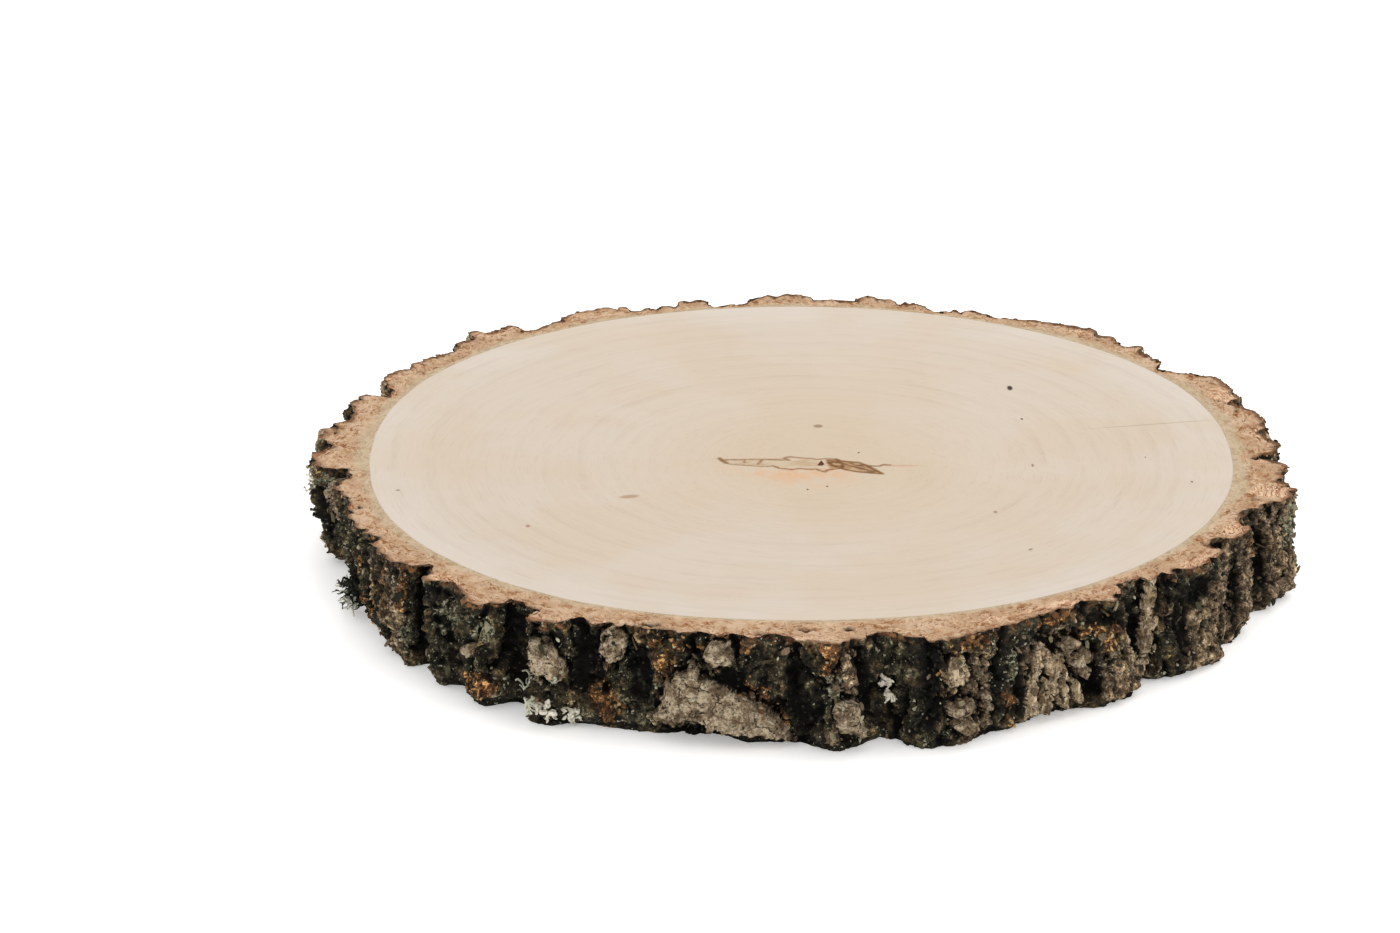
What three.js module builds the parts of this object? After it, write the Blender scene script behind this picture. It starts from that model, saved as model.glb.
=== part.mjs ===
// A slice sawn across a birch log with its bark left on, lying flat on its sawn underside.
// The wood and its bark grew as one piece, so they are one closed body. The moss and the lichens
// that grow on the bark are bodies of their own, each following the bark under it with a small gap.
//
// Units are millimetres. +Z is up. The origin is the middle of the whole object's footprint,
// on the surface that it lies on. Angles are degrees counter-clockwise from +X, seen from above.
import * as THREE from "three";

// The slice.
const THICKNESS = 31; // from sawn face to sawn face
const WALL_SEGMENTS = 300; // round the bark
const WALL_ROWS = 7; // up the bark
const FOOT_INSET = 1.4; // how far the bark's lower edge draws in
const FOOT_HEIGHT = 9; // height over which it draws in
const BROW_INSET = 0.5; // how far the bark's upper edge draws in
const BROW_HEIGHT = 6;

// On one side the bark leans in towards the underside.
const LEAN = { at: 194, halfWidth: 20, depth: 6.5 };

// Radius of the bark's outer face at even steps round the slice, without its cracks and lobes.
const BARK_RADII = [
  139.5, 141, 141, 136.5, 138, 139.5, 136, 136.5, 138, 139, 136.5, 136,
  138.5, 140, 138.5, 137, 138, 138.5, 138.5, 136, 136.5, 140, 142, 144,
  145, 138.5, 141.5, 140.5, 142, 143, 138, 139, 140.5, 140, 139.5, 141.5,
];

// The lobes where a plate of bark stands out, and the deep cracks between the plates: where each
// one is at mid height, how far it goes out or in, how wide it is, and how many degrees it drifts
// from the underside to the sawn face.
const LOBES = [
  { at: 25, depth: 4, halfWidth: 2, drift: 0 },
  { at: 48, depth: 1.5, halfWidth: 4, drift: 0 },
  { at: 183, depth: 4, halfWidth: 2.6, drift: 0 },
  { at: 240.5, depth: 3, halfWidth: 2.4, drift: -1 },
  { at: 273.5, depth: 5, halfWidth: 2, drift: 0 },
  { at: 283.5, depth: 4, halfWidth: 2.4, drift: 0 },
  { at: 306.5, depth: 3, halfWidth: 2.6, drift: 0 },
  { at: 345, depth: 3.5, halfWidth: 3.2, drift: 1 },
];
const CRACKS = [
  { at: 5, depth: 2, halfWidth: 2, drift: 1 },
  { at: 16, depth: 3, halfWidth: 1.6, drift: 1 },
  { at: 33, depth: 3, halfWidth: 2.4, drift: -1 },
  { at: 60, depth: 3, halfWidth: 2, drift: 2 },
  { at: 71, depth: 6, halfWidth: 1.8, drift: -2 },
  { at: 84, depth: 5, halfWidth: 2.2, drift: 1 },
  { at: 97, depth: 8, halfWidth: 1.9, drift: 1.5 },
  { at: 110, depth: 5, halfWidth: 1.6, drift: -1.5 },
  { at: 124, depth: 7, halfWidth: 2.2, drift: 2 },
  { at: 141, depth: 6, halfWidth: 1.8, drift: -1 },
  { at: 157, depth: 8, halfWidth: 1.9, drift: 1 },
  { at: 169, depth: 5, halfWidth: 1.6, drift: -2 },
  { at: 179, depth: 4, halfWidth: 1.5, drift: 0 },
  { at: 188, depth: 9, halfWidth: 1.6, drift: 0 },
  { at: 197, depth: 5, halfWidth: 1.5, drift: -1 },
  { at: 209.5, depth: 6, halfWidth: 1.5, drift: 0 },
  { at: 221, depth: 9, halfWidth: 1.5, drift: 0 },
  { at: 227.5, depth: 6.5, halfWidth: 1.6, drift: -1 },
  { at: 236, depth: 9, halfWidth: 1.6, drift: 1 },
  { at: 266, depth: 3, halfWidth: 2.4, drift: 1 },
  { at: 279, depth: 8, halfWidth: 1.5, drift: 1 },
  { at: 303, depth: 2, halfWidth: 1.6, drift: 1 },
  { at: 312.5, depth: 7, halfWidth: 2.4, drift: -2 },
  { at: 328, depth: 7, halfWidth: 1.4, drift: 1 },
  { at: 337.5, depth: 7, halfWidth: 2.4, drift: 1 },
  { at: 358, depth: 9, halfWidth: 1.5, drift: 0 },
];

// Low folds that run up the bark between the cracks: how many go round, how deep they are, where
// the first one starts in radians, and how much they lean per millimetre of height.
const FOLDS = [
  { count: 19, depth: 0.5, phase: 0.6, lean: 0.012 },
  { count: 31, depth: 0.4, phase: 2.1, lean: -0.02 },
  { count: 47, depth: 0.4, phase: 4.4, lean: 0.03 },
];

// The growths that stand out from the bark: the middle of each one, its size along the bark and
// up it, how far it stands out, and how its edge is lobed.
const GROWTHS = [
  { name: "lichen_tuft_left", kind: "lichen", at: 183, up: 24, across: 8, tall: 8.5, proud: 2.2, lobes: 5 },
  { name: "moss_tuft_left", kind: "moss", at: 202, up: 8.5, across: 8, tall: 9.5, proud: 6, lobes: 4 },
  { name: "lichen_rosette_left", kind: "lichen", at: 242.5, up: 10.5, across: 12, tall: 15, proud: 2, lobes: 6 },
  { name: "lichen_rosette_front", kind: "lichen", at: 279, up: 15, across: 6, tall: 7.5, proud: 1.6, lobes: 5 },
  { name: "lichen_tuft_far", kind: "lichen", at: 39, up: 28, across: 5, tall: 4.5, proud: 1.8, lobes: 4 },
];
const GROWTH_GAP = 0.3; // between a growth and the bark under it
const GROWTH_SIDES = 14;
const GROWTH_RINGS = 8;
const LOBE_DEPTH = 0.16; // share of a growth's half size

const MATERIALS = {
  slice: new THREE.MeshStandardMaterial({ color: 0xd8c8b2, roughness: 0.85, metalness: 0 }),
  lichen: new THREE.MeshStandardMaterial({ color: 0xa8aba0, roughness: 0.95, metalness: 0 }),
  moss: new THREE.MeshStandardMaterial({ color: 0x2a2f20, roughness: 1, metalness: 0 }),
};

const { degToRad, euclideanModulo, smoothstep } = THREE.MathUtils;
const FULL_TURN = 360;
const WALL_STEP = FULL_TURN / WALL_SEGMENTS;

// Smooth closed curve through evenly spaced values, where position counts in steps.
function roundCurve(values, position) {
  const count = values.length;
  const first = Math.floor(position);
  const t = position - first;
  const [a, b, c, d] = [-1, 0, 1, 2].map((step) => values[euclideanModulo(first + step, count)]);
  const bend = a - 2.5 * b + 2 * c - 0.5 * d;
  const twist = 0.5 * (d - a) + 1.5 * (b - c);
  return b + t * (0.5 * (c - a) + t * (bend + t * twist));
}

// Shortest way round from one angle to another, in degrees.
function turnBetween(from, to) {
  return euclideanModulo(to - from + FULL_TURN / 2, FULL_TURN) - FULL_TURN / 2;
}

// How deep the deepest of some cracks, or how high the highest of some lobes, is at a place.
function reliefDepth(features, angle, height) {
  const share = height / THICKNESS - 0.5;
  return features.reduce((deepest, feature) => {
    const away = turnBetween(feature.at + feature.drift * share, angle) / feature.halfWidth;
    return Math.max(deepest, feature.depth * Math.exp(-away * away));
  }, 0);
}

function foldHeight(angle, height) {
  return FOLDS.reduce(
    (sum, fold) => sum + fold.depth * Math.sin(fold.count * degToRad(angle) + fold.phase + fold.lean * height),
    0,
  );
}

function edgeInset(angle, height) {
  const foot = FOOT_INSET * (1 - smoothstep(height, 0, FOOT_HEIGHT));
  const brow = BROW_INSET * smoothstep(height, THICKNESS - BROW_HEIGHT, THICKNESS);
  const aside = turnBetween(LEAN.at, angle) / LEAN.halfWidth;
  const lean = LEAN.depth * Math.exp(-aside * aside) * (1 - height / THICKNESS);
  return foot + brow + lean;
}

function barkRadius(angle, height) {
  const step = FULL_TURN / BARK_RADII.length;
  const plain = roundCurve(BARK_RADII, euclideanModulo(angle, FULL_TURN) / step);
  const lobe = reliefDepth(LOBES, angle, height);
  const crack = reliefDepth(CRACKS, angle, height);
  return plain + lobe + foldHeight(angle, height) - crack - edgeInset(angle, height);
}

// The slice starts as a drum whose wall is then drawn in or out to the bark's own radius.
function sliceGeometry() {
  const drum = new THREE.CylinderGeometry(1, 1, THICKNESS, WALL_SEGMENTS, WALL_ROWS);
  drum.rotateX(Math.PI / 2);
  drum.translate(0, 0, THICKNESS / 2);
  const points = drum.getAttribute("position");
  for (let i = 0; i < points.count; i += 1) {
    const [x, y, z] = [points.getX(i), points.getY(i), points.getZ(i)];
    const angle = THREE.MathUtils.radToDeg(Math.atan2(y, x));
    const radius = Math.hypot(x, y) * barkRadius(angle, z);
    points.setXY(i, radius * Math.cos(degToRad(angle)), radius * Math.sin(degToRad(angle)));
  }
  return drum;
}

// The furthest out that the faceted bark comes within one facet of a place.
function clearRadius(angle, height) {
  const steps = [-1, -0.5, 0, 0.5, 1];
  const near = steps.map((step) => barkRadius(angle + step * WALL_STEP, height));
  return Math.max(...near) + GROWTH_GAP;
}

// A growth starts as a ball that is flattened against the bark, with a lobed edge.
function growthGeometry({ at, up, across, tall, proud, lobes }) {
  const ball = new THREE.SphereGeometry(1, GROWTH_SIDES, GROWTH_RINGS);
  ball.rotateX(Math.PI / 2);
  const points = ball.getAttribute("position");
  for (let i = 0; i < points.count; i += 1) {
    const [side, rise, out] = [points.getX(i), points.getY(i), points.getZ(i)];
    const lobe = 1 + LOBE_DEPTH * Math.sin(lobes * Math.atan2(rise, side));
    const height = up + 0.5 * tall * lobe * rise;
    const reach = 0.5 * across * lobe * side;
    const angle = at + THREE.MathUtils.radToDeg(reach / barkRadius(at, up));
    const radius = clearRadius(angle, height) + 0.5 * proud * (1 + out);
    points.setXYZ(i, radius * Math.cos(degToRad(angle)), radius * Math.sin(degToRad(angle)), height);
  }
  return ball;
}

function namedMesh(name, geometry, material) {
  const mesh = new THREE.Mesh(geometry, material);
  mesh.name = name;
  return mesh;
}

const slice = new THREE.Group();
slice.add(namedMesh("wood_slice", sliceGeometry(), MATERIALS.slice));
for (const growth of GROWTHS) {
  slice.add(namedMesh(growth.name, growthGeometry(growth), MATERIALS[growth.kind]));
}

// The footprint's middle goes to the origin.
const extent = new THREE.Box3().setFromObject(slice);
const middle = extent.getCenter(new THREE.Vector3());
slice.position.set(-middle.x, -middle.y, -extent.min.z);

export default slice;
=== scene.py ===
"""A round slice of birch with its bark on, lying flat, with the moss and lichens that grow on it.

Lengths are in millimetres until a mesh is made, and angles are in degrees counter-clockwise from
+X seen from above, about the slice's own hub. Blender's scene is in metres.
"""

import math

import bpy
import numpy as np
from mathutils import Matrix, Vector, noise


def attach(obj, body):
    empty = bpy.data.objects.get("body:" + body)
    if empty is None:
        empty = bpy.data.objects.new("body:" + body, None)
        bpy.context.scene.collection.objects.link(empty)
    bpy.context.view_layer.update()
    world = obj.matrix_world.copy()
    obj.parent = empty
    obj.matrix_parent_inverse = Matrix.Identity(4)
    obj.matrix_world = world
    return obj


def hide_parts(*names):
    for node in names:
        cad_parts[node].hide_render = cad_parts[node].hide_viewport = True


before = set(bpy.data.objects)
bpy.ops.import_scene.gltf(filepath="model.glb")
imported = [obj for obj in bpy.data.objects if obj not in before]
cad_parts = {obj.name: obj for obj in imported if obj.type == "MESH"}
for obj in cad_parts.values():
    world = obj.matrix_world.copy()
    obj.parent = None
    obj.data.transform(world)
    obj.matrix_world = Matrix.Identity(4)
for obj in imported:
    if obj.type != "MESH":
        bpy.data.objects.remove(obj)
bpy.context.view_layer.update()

MM = 0.001
FULL_TURN = 360.0

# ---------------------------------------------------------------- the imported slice's own shape


def packed_points(node):
    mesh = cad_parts[node].data
    points = np.empty(len(mesh.vertices) * 3)
    mesh.vertices.foreach_get("co", points)
    return points.reshape(-1, 3) / MM


SLICE = packed_points("wood_slice")
THICKNESS = float(SLICE[:, 2].max())
LEVEL_GAP = 0.05  # packed points closer in height than this are on one level


def find_hub():
    """The middle of the sawn face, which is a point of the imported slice."""
    lid = SLICE[SLICE[:, 2] > THICKNESS - LEVEL_GAP]
    return lid[np.hypot(lid[:, 0], lid[:, 1]).argmin(), :2]


HUB = find_hub()


def polar(points):
    """Angle and radius about the hub."""
    away = points[:, :2] - HUB
    return np.degrees(np.arctan2(away[:, 1], away[:, 0])) % FULL_TURN, np.hypot(*away.T)


def packed_levels():
    """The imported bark's outline at each of its levels: height, angles and radii."""
    angles, radii = polar(SLICE)
    outer = radii > radii.max() / 2
    levels = []
    for height in np.unique(np.round(SLICE[outer, 2], 1)):
        here = outer & (np.abs(SLICE[:, 2] - height) < LEVEL_GAP * 2)
        turn, first = np.unique(np.round(angles[here], 2), return_index=True)
        levels.append((height, turn, radii[here][first]))
    return levels


LEVELS = packed_levels()
LEVEL_HEIGHTS = np.array([level[0] for level in LEVELS])


def bark_radius(angles, heights):
    """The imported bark's radius at each angle and height."""
    each = np.array([np.interp(angles, turn, radii, period=FULL_TURN) for _, turn, radii in LEVELS])
    low = np.clip(np.searchsorted(LEVEL_HEIGHTS, heights) - 1, 0, len(LEVELS) - 2)
    share = (heights - LEVEL_HEIGHTS[low]) / (LEVEL_HEIGHTS[low + 1] - LEVEL_HEIGHTS[low])
    column = np.arange(len(angles))
    return each[low, column] * (1 - share) + each[low + 1, column] * share


def around(angles, radii, heights):
    """Points at these angles, radii and heights about the hub."""
    turn = np.radians(angles)
    spread = np.broadcast_to(heights, turn.shape)
    return np.stack([HUB[0] + radii * np.cos(turn), HUB[1] + radii * np.sin(turn), spread], 1)


# ---------------------------------------------------------------- fields of noise and shape


def smooth(low, high, value):
    """0 below low, 1 above high, and a smooth step between."""
    t = np.clip((value - low) / (high - low), 0, 1)
    return t * t * (3 - 2 * t)


def rough(points, size, octaves=3, seed=0.0, stretch=(1, 1, 1)):
    """Fractal noise of about -1 to 1, with lumps of this size."""
    places = (points / (size * np.array(stretch)) + seed * 17.3).tolist()
    return np.array([noise.fractal(p, 0.9, 2.1, octaves) for p in places])


def cells(points, size, seed=0.0, stretch=(1, 1, 1)):
    """Distance to the nearest and the next nearest of scattered seeds, and a number for the nearest."""
    places = (points / (size * np.array(stretch)) + seed * 9.7).tolist()
    near, gap, tone = [], [], []
    for place in places:
        distances, seeds = noise.voronoi(place)
        near.append(distances[0])
        gap.append(distances[1] - distances[0])
        tone.append(seeds[0][0] * 12.9898 + seeds[0][1] * 78.233 + seeds[0][2] * 37.719)
    tone = np.abs(np.sin(np.array(tone)) * 43758.5453) % 1.0
    return np.array(near), np.array(gap), tone


def round_curve(values, angles):
    """A smooth closed curve through evenly spaced values."""
    values = np.asarray(values, float)
    position = (angles % FULL_TURN) / FULL_TURN * len(values)
    first = np.floor(position).astype(int)
    t = position - first
    a, b, c, d = (values[(first + step) % len(values)] for step in (-1, 0, 1, 2))
    return b + t * ((c - a) / 2 + t * (a - 2.5 * b + 2 * c - d / 2 + t * ((d - a) / 2 + 1.5 * (b - c))))


def turn_between(start, end):
    return (end - start + FULL_TURN / 2) % FULL_TURN - FULL_TURN / 2


# ---------------------------------------------------------------- meshes


def new_piece(name, points, faces, material, fields=None, uv=None, rounded=True):
    """A mesh object from points in millimetres, with a float attribute for each field."""
    mesh = bpy.data.meshes.new(name)
    mesh.from_pydata((points * MM).tolist(), [], [list(face) for face in faces])
    for field, values in (fields or {}).items():
        attribute = mesh.attributes.new(field, "FLOAT", "POINT")
        attribute.data.foreach_set("value", np.asarray(values, np.float32))
    if uv is not None:
        layer = mesh.uv_layers.new(name="OFBake")
        layer.uv.foreach_set("vector", np.asarray(uv, np.float32).ravel())
    mesh.polygons.foreach_set("use_smooth", np.full(len(mesh.polygons), rounded))
    mesh.materials.append(material)
    mesh.update()
    made = bpy.data.objects.new(name, mesh)
    bpy.context.scene.collection.objects.link(made)
    return made


def finish_piece(piece, slot, *nodes):
    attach(piece, "root")
    if nodes:
        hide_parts(*nodes)
    return piece


# ---------------------------------------------------------------- the bark's wall

COLUMNS = 1440  # points round the bark
WALL_ROWS = 64  # points up the bark
STRETCHES = 5  # lengths of bark stacked on the bark's texture
SIDE_MARGIN = 0.004  # between the bark's texture and its edges, and between the stretches on it
STRETCH_MARGIN = 0.02
FOOT_TUCK = 1.8  # how far the bark's foot draws in
FOOT_FLARE = (317, 26, 2.6)  # where the bark spreads at its foot: angle, half width in degrees and how far
CRACK_FILL = 0.45  # the share of each packed crack that is filled with crust
HOLLOW_DEPTH = 3.4
PLATE_GAP = 1.8  # how far the crust lies back round the edge of a plate
FOOT_WEAR = 0.62  # how much the relief is rubbed smooth at the bark's lower edge
BROW_WEAR = 0.5  # and at its upper edge
SLIDE = 0.6  # how far points move aside, which undercuts the lumps
EDGE_CLEARANCE = 0.12  # between the wall's inner rows and the sawn faces
COLUMN_ANGLES = np.arange(COLUMNS) * FULL_TURN / COLUMNS
WALL_HEIGHTS = np.linspace(0, THICKNESS, WALL_ROWS)


def wall_grid():
    """Angle and height of each point of the wall, row by row from the underside up."""
    heights, angles = np.meshgrid(WALL_HEIGHTS, COLUMN_ANGLES, indexing="ij")
    return angles.ravel(), heights.ravel()


def grid_normals(points):
    """Outward normals of the wall's points."""
    grid = points.reshape(WALL_ROWS, COLUMNS, 3)
    along = np.roll(grid, -1, 1) - np.roll(grid, 1, 1)
    up = np.gradient(grid, axis=0)
    normals = np.cross(along, up)
    normals /= np.maximum(np.linalg.norm(normals, axis=2, keepdims=True), 1e-9)
    return normals.reshape(-1, 3)


def wall_quads():
    rows, columns = np.meshgrid(np.arange(WALL_ROWS - 1), np.arange(COLUMNS), indexing="ij")
    start = (rows * COLUMNS + columns).ravel()
    after = (rows * COLUMNS + (columns + 1) % COLUMNS).ravel()
    return np.stack([start, after, after + COLUMNS, start + COLUMNS], 1)


# Patches of the bark: angle, height, half width, half height, lean to the right in degrees.
PAPER = [
    (241.9, 20.3, 3.4, 6.4, -14),
    (248.6, 25.5, 3.0, 6.0, 8),
    (260.6, 26.4, 3.8, 3.4, 0),
    (274.6, 9.4, 3.0, 5.4, -24),
    (286.6, 11.4, 3.2, 2.6, 12),
    (286.7, 6.0, 2.7, 2.9, 0),
    (289.3, 11.6, 1.0, 2.2, 0),
    (300.6, 20.2, 1.9, 2.6, -20),
    (302.2, 16.0, 3.0, 1.5, -30),
    (231.9, 17.4, 1.5, 1.3, 0),
]
SCALES = [
    (295.9, 10.0, 1.6, 9.6, 8),
    (297.9, 8.0, 1.5, 6.0, 12),
    (298.0, 17.6, 2.0, 5.0, -30),
    (299.6, 14.6, 1.4, 4.6, -20),
    (300.0, 7.0, 1.5, 4.4, -12),
    (302.0, 6.6, 1.5, 3.6, -16),
    (313.9, 16.0, 1.7, 16.0, 0),
    (208.6, 13.0, 1.0, 10.0, 10),
    (303.0, 11.4, 1.6, 2.4, -30),
    (286.0, 21.6, 3.4, 4.0, 0),
]
RUST = [
    (206.4, 17.0, 0.9, 13.0, 8),
    (211.4, 15.0, 1.0, 14.0, 8),
    (218.6, 22.0, 1.2, 6.0, 0),
    (232.2, 6.2, 4.4, 3.8, 0),
    (214.6, 22.0, 1.0, 7.0, 8),
    (247.6, 8.8, 3.6, 6.2, -14),
    (254.6, 21.6, 3.2, 3.8, -10),
    (255.4, 27.6, 6.2, 1.9, 0),
    (263.4, 28.0, 1.4, 1.6, 0),
    (264.6, 14.4, 3.0, 5.6, -38),
    (266.8, 8.0, 2.6, 5.6, -34),
    (272.5, 25.6, 2.0, 5.0, 0),
    (284.7, 18.0, 1.5, 4.0, 0),
    (288.0, 28.2, 4.4, 1.6, 0),
    (292.5, 7.6, 2.0, 5.4, -6),
    (298.4, 28.6, 5.0, 1.2, -6),
    (303.4, 22.6, 4.4, 2.0, -30),
    (306.0, 20.4, 2.6, 3.6, 12),
    (334.0, 26.0, 1.4, 2.4, 0),
]
CRUST_LICHEN = [
    (272.9, 17.8, 3.0, 4.6, 0),
    (276.0, 4.4, 1.2, 1.4, 0),
    (226.5, 21.0, 3.4, 5.0, 20),
    (233.4, 23.0, 2.2, 3.0, 30),
    (251.6, 14.6, 1.6, 4.8, 0),
    (253.3, 14.4, 1.2, 1.5, 0),
    (219.0, 10.0, 1.8, 3.8, 0),
    (198.0, 16.0, 4.0, 4.4, 12),
    (192.0, 8.0, 4.0, 4.0, 0),
    (344.6, 23.0, 2.2, 6.0, 0),
    (293.0, 19.0, 1.4, 5.0, 0),
]
CORK = [
    (339.0, 14.0, 44.0, 18.0, 0),
    (321.5, 9.5, 9.0, 10.0, 10),
    (11.0, 15.0, 30.0, 19.0, 0),
    (274.2, 16.0, 5.0, 13.0, 0),
    (287.6, 14.0, 7.0, 15.0, 0),
    (308.6, 10.5, 9.0, 10.0, 0),
    (298.5, 13.0, 10.0, 13.0, 0),
    (258.5, 13.0, 6.0, 9.0, 0),
    (216.0, 13.0, 6.0, 13.0, 0),
]
# Hollows are sunk into the bark and the shader paints them near-black as painted shade; the low one under the
# big plate is its painted shadow.
HOLLOW = [
    (245.6, 20.0, 3.0, 9.0, 0),
    (245.4, 14.4, 4.6, 2.6, -20),
    (251.5, 17.0, 3.4, 10.0, 0),
    (257.4, 26.6, 2.6, 2.6, 0),
    (258.6, 1.8, 12.0, 1.9, -3),
    (262.0, 19.6, 3.6, 3.4, 0),
    (269.2, 12.0, 3.0, 10.0, -10),
    (276.6, 18.0, 2.2, 11.0, -12),
    (283.0, 18.0, 4.0, 13.0, 0),
    (290.6, 10.0, 1.6, 9.0, 0),
    (294.2, 9.0, 1.6, 7.0, 0),
    (303.6, 7.4, 4.0, 4.2, 0),
    (306.0, 25.8, 5.6, 2.2, 4),
    (311.8, 17.0, 3.2, 12.0, -20),
    (318.2, 15.0, 3.4, 13.0, 0),
    (320.8, 23.6, 4.8, 4.6, 0),
    (237.5, 15.0, 6.4, 16.0, 0),
    (229.4, 16.0, 2.0, 14.0, 0),
    (221.0, 16.0, 4.0, 16.0, 0),
    (340.0, 15.0, 2.2, 15.0, -6),
    (330.6, 15.0, 1.8, 13.0, 0),
]
# The big pale plate's outline: angle and height.
PALE_PLATE = [
    (252.5, 6.6), (254.2, 10.0), (254.7, 14.5), (255.6, 19.0), (257.6, 22.4), (258.5, 19.2), (260.6, 17.4),
    (261.6, 15.4), (263.6, 15.6), (265.2, 11.6), (267.4, 6.6), (268.9, 2.0), (264.6, 3.8), (259.6, 4.4),
    (258.7, 6.8), (256.4, 6.6), (254.4, 4.8), (253.1, 4.8),
]
NO_PATCH = -4.0  # a patch field's value far outside every patch
PATCH_LIMIT = 4.0  # and its highest value inside one
OVAL_POWER = 2.4  # how square an oval patch is: 2 is a plain oval
MEAN_RADIUS = 139.0


def patch_field(patches, angles, heights):
    """About how far inside the nearest of these leaning ovals each point lies, in millimetres."""
    inside = np.full(len(angles), NO_PATCH)
    for angle, height, half_width, half_height, lean in patches:
        along = np.radians(turn_between(angle, angles)) * MEAN_RADIUS
        near = np.abs(along) < half_width + half_height + 4
        u, v = along[near], heights[near] - height
        c, s = math.cos(math.radians(lean)), math.sin(math.radians(lean))
        across = np.abs((u * c - v * s) / half_width) ** OVAL_POWER
        upright = np.abs((u * s + v * c) / half_height) ** OVAL_POWER
        oval = (across + upright) ** (1 / OVAL_POWER)
        inside[near] = np.maximum(inside[near], (1 - oval) * min(half_width, half_height))
    return inside


def outline_field(outline, angles, heights):
    """How far inside this outline each point lies, in millimetres, and negative outside it."""
    corners = np.array(outline, float)
    corners[:, 0] = np.radians(turn_between(outline[0][0], corners[:, 0])) * MEAN_RADIUS
    along = np.radians(turn_between(outline[0][0], angles)) * MEAN_RADIUS
    result = np.full(len(angles), NO_PATCH)
    near = (along > corners[:, 0].min() - 4) & (along < corners[:, 0].max() + 4)
    result[near] = polygon_depth(corners, np.stack([along[near], heights[near]], 1))
    return result


def polygon_depth(corners, points):
    distance = np.full(len(points), 99.0)
    inside = np.zeros(len(points), bool)
    for a, b in zip(corners, np.roll(corners, -1, 0)):
        distance = np.minimum(distance, segment_distance(points, a, b))
        crossing = (a[1] > points[:, 1]) != (b[1] > points[:, 1])
        slope = (b[0] - a[0]) / (b[1] - a[1] or 1e-9)
        inside ^= crossing & (points[:, 0] < a[0] + slope * (points[:, 1] - a[1]))
    return np.where(inside, distance, -distance)


def segment_distance(points, a, b):
    along = np.clip((points - a) @ (b - a) / max((b - a) @ (b - a), 1e-9), 0, 1)
    return np.linalg.norm(points - a - along[:, None] * (b - a), axis=1)


def scattered(seed, count, start, end, width, height):
    """Made-up patches for a stretch of the bark: as many, from angle to angle, about this big."""
    dice = np.random.default_rng(seed)
    made = []
    for angle in np.linspace(start, end, count) + dice.uniform(-3, 3, count):
        size = dice.uniform(0.5, 1.6, 2)
        made.append((angle, dice.uniform(2, 29), width * size[0], height * size[1], dice.uniform(-25, 25)))
    return made


BACK = (16, 190)
PAPER += scattered(1, 16, *BACK, 2.6, 5.0)
SCALES += scattered(6, 22, *BACK, 1.8, 6.0)
RUST += scattered(2, 24, *BACK, 2.4, 3.6)
CRUST_LICHEN += scattered(3, 26, *BACK, 3.0, 4.0)
CORK += scattered(4, 14, *BACK, 8.0, 10.0)
HOLLOW += scattered(5, 26, *BACK, 2.4, 9.0)


def blur(values, columns, rows):
    """The wall's values averaged over this many columns and rows each way."""
    grid = values.reshape(WALL_ROWS, COLUMNS)
    total = sum(np.roll(grid, shift, 1) for shift in range(-columns, columns + 1)) / (2 * columns + 1)
    padded = np.pad(total, ((rows, rows), (0, 0)), "edge")
    return (sum(padded[i : i + WALL_ROWS] for i in range(2 * rows + 1)) / (2 * rows + 1)).ravel()


def wall_fields(flat, angles, heights):
    """How far inside each kind of patch the wall's points lie, with ragged edges."""
    ragged = 0.9 * rough(flat, 3.4, 3, seed=1) + 0.6 * rough(flat, 1.3, 2, seed=2)
    paper = np.maximum(patch_field(PAPER, angles, heights), outline_field(PALE_PLATE, angles, heights) + 0.3)
    _, _, chip = cells(flat, 2.4, seed=30)
    _, _, splinter = cells(flat, 1.6, seed=31, stretch=(1, 1, 2.6))
    return {
        "paper": paper + ragged * 0.4 + 1.8 * (chip - 0.5),
        "scale": patch_field(SCALES, angles, heights) + ragged * 0.4 + 1.2 * (splinter - 0.5),
        "rust": patch_field(RUST, angles, heights) + ragged * 1.5,
        "lichen": patch_field(CRUST_LICHEN, angles, heights) + ragged * 1.7,
        "cork": patch_field(CORK, angles, heights) + 2.2 * rough(flat, 7, 3, seed=3) + ragged,
        "hollow": patch_field(HOLLOW, angles, heights) + ragged,
    }


def crust_relief(flat, warped):
    """How far the granular crust stands out of the bark at each point."""
    _, gap, _ = cells(warped, 12, seed=1, stretch=(1, 1, 2.4))
    furrow = (1 - smooth(0.0, 0.2, gap)) * smooth(-0.25, 0.25, rough(flat, 14, 2, seed=5))
    lumps, _, _ = cells(flat, 3.4, seed=3, stretch=(1, 1, 1.15))
    grit, _, _ = cells(flat, 1.7, seed=4)
    relief = 2.3 * (0.42 - lumps) + 1.5 * (0.42 - grit) + 1.6 * rough(flat, 7, 3, seed=6)
    return relief + 0.8 * rough(flat, 1.1, 2, seed=7) - 3.0 * furrow


def cork_relief(warped):
    """How far the upright ribs and scales of grey cork stand out."""
    _, gap, tone = cells(warped, 3.6, seed=2, stretch=(1, 1, 2.2))
    ribs = 1.4 * rough(warped, 3.4, 3, seed=8, stretch=(1, 1, 3)) - 1.1 * (1 - smooth(0, 0.3, gap))
    return ribs + 1.0 * (tone - 0.5) + 0.9 * rough(warped, 1.2, 3, seed=14)


def paper_relief(flat, warped, paper):
    """How far the papery plates stand out: flat, split into smaller plates, with thin steps."""
    _, gap, tone = cells(warped, 5.0, seed=6, stretch=(1.2, 1.2, 0.7))
    split = 0.9 * (1 - smooth(0, 0.12, gap)) * smooth(-0.2, 0.15, rough(flat, 5, 2, seed=15))
    uneven = 0.22 * rough(flat, 2.2, 3, seed=9) + 0.16 * rough(flat, 0.9, 2, seed=25)
    return 2.3 + 0.3 * smooth(0, 3, paper) + 1.2 * (tone - 0.5) + uneven - split


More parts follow.
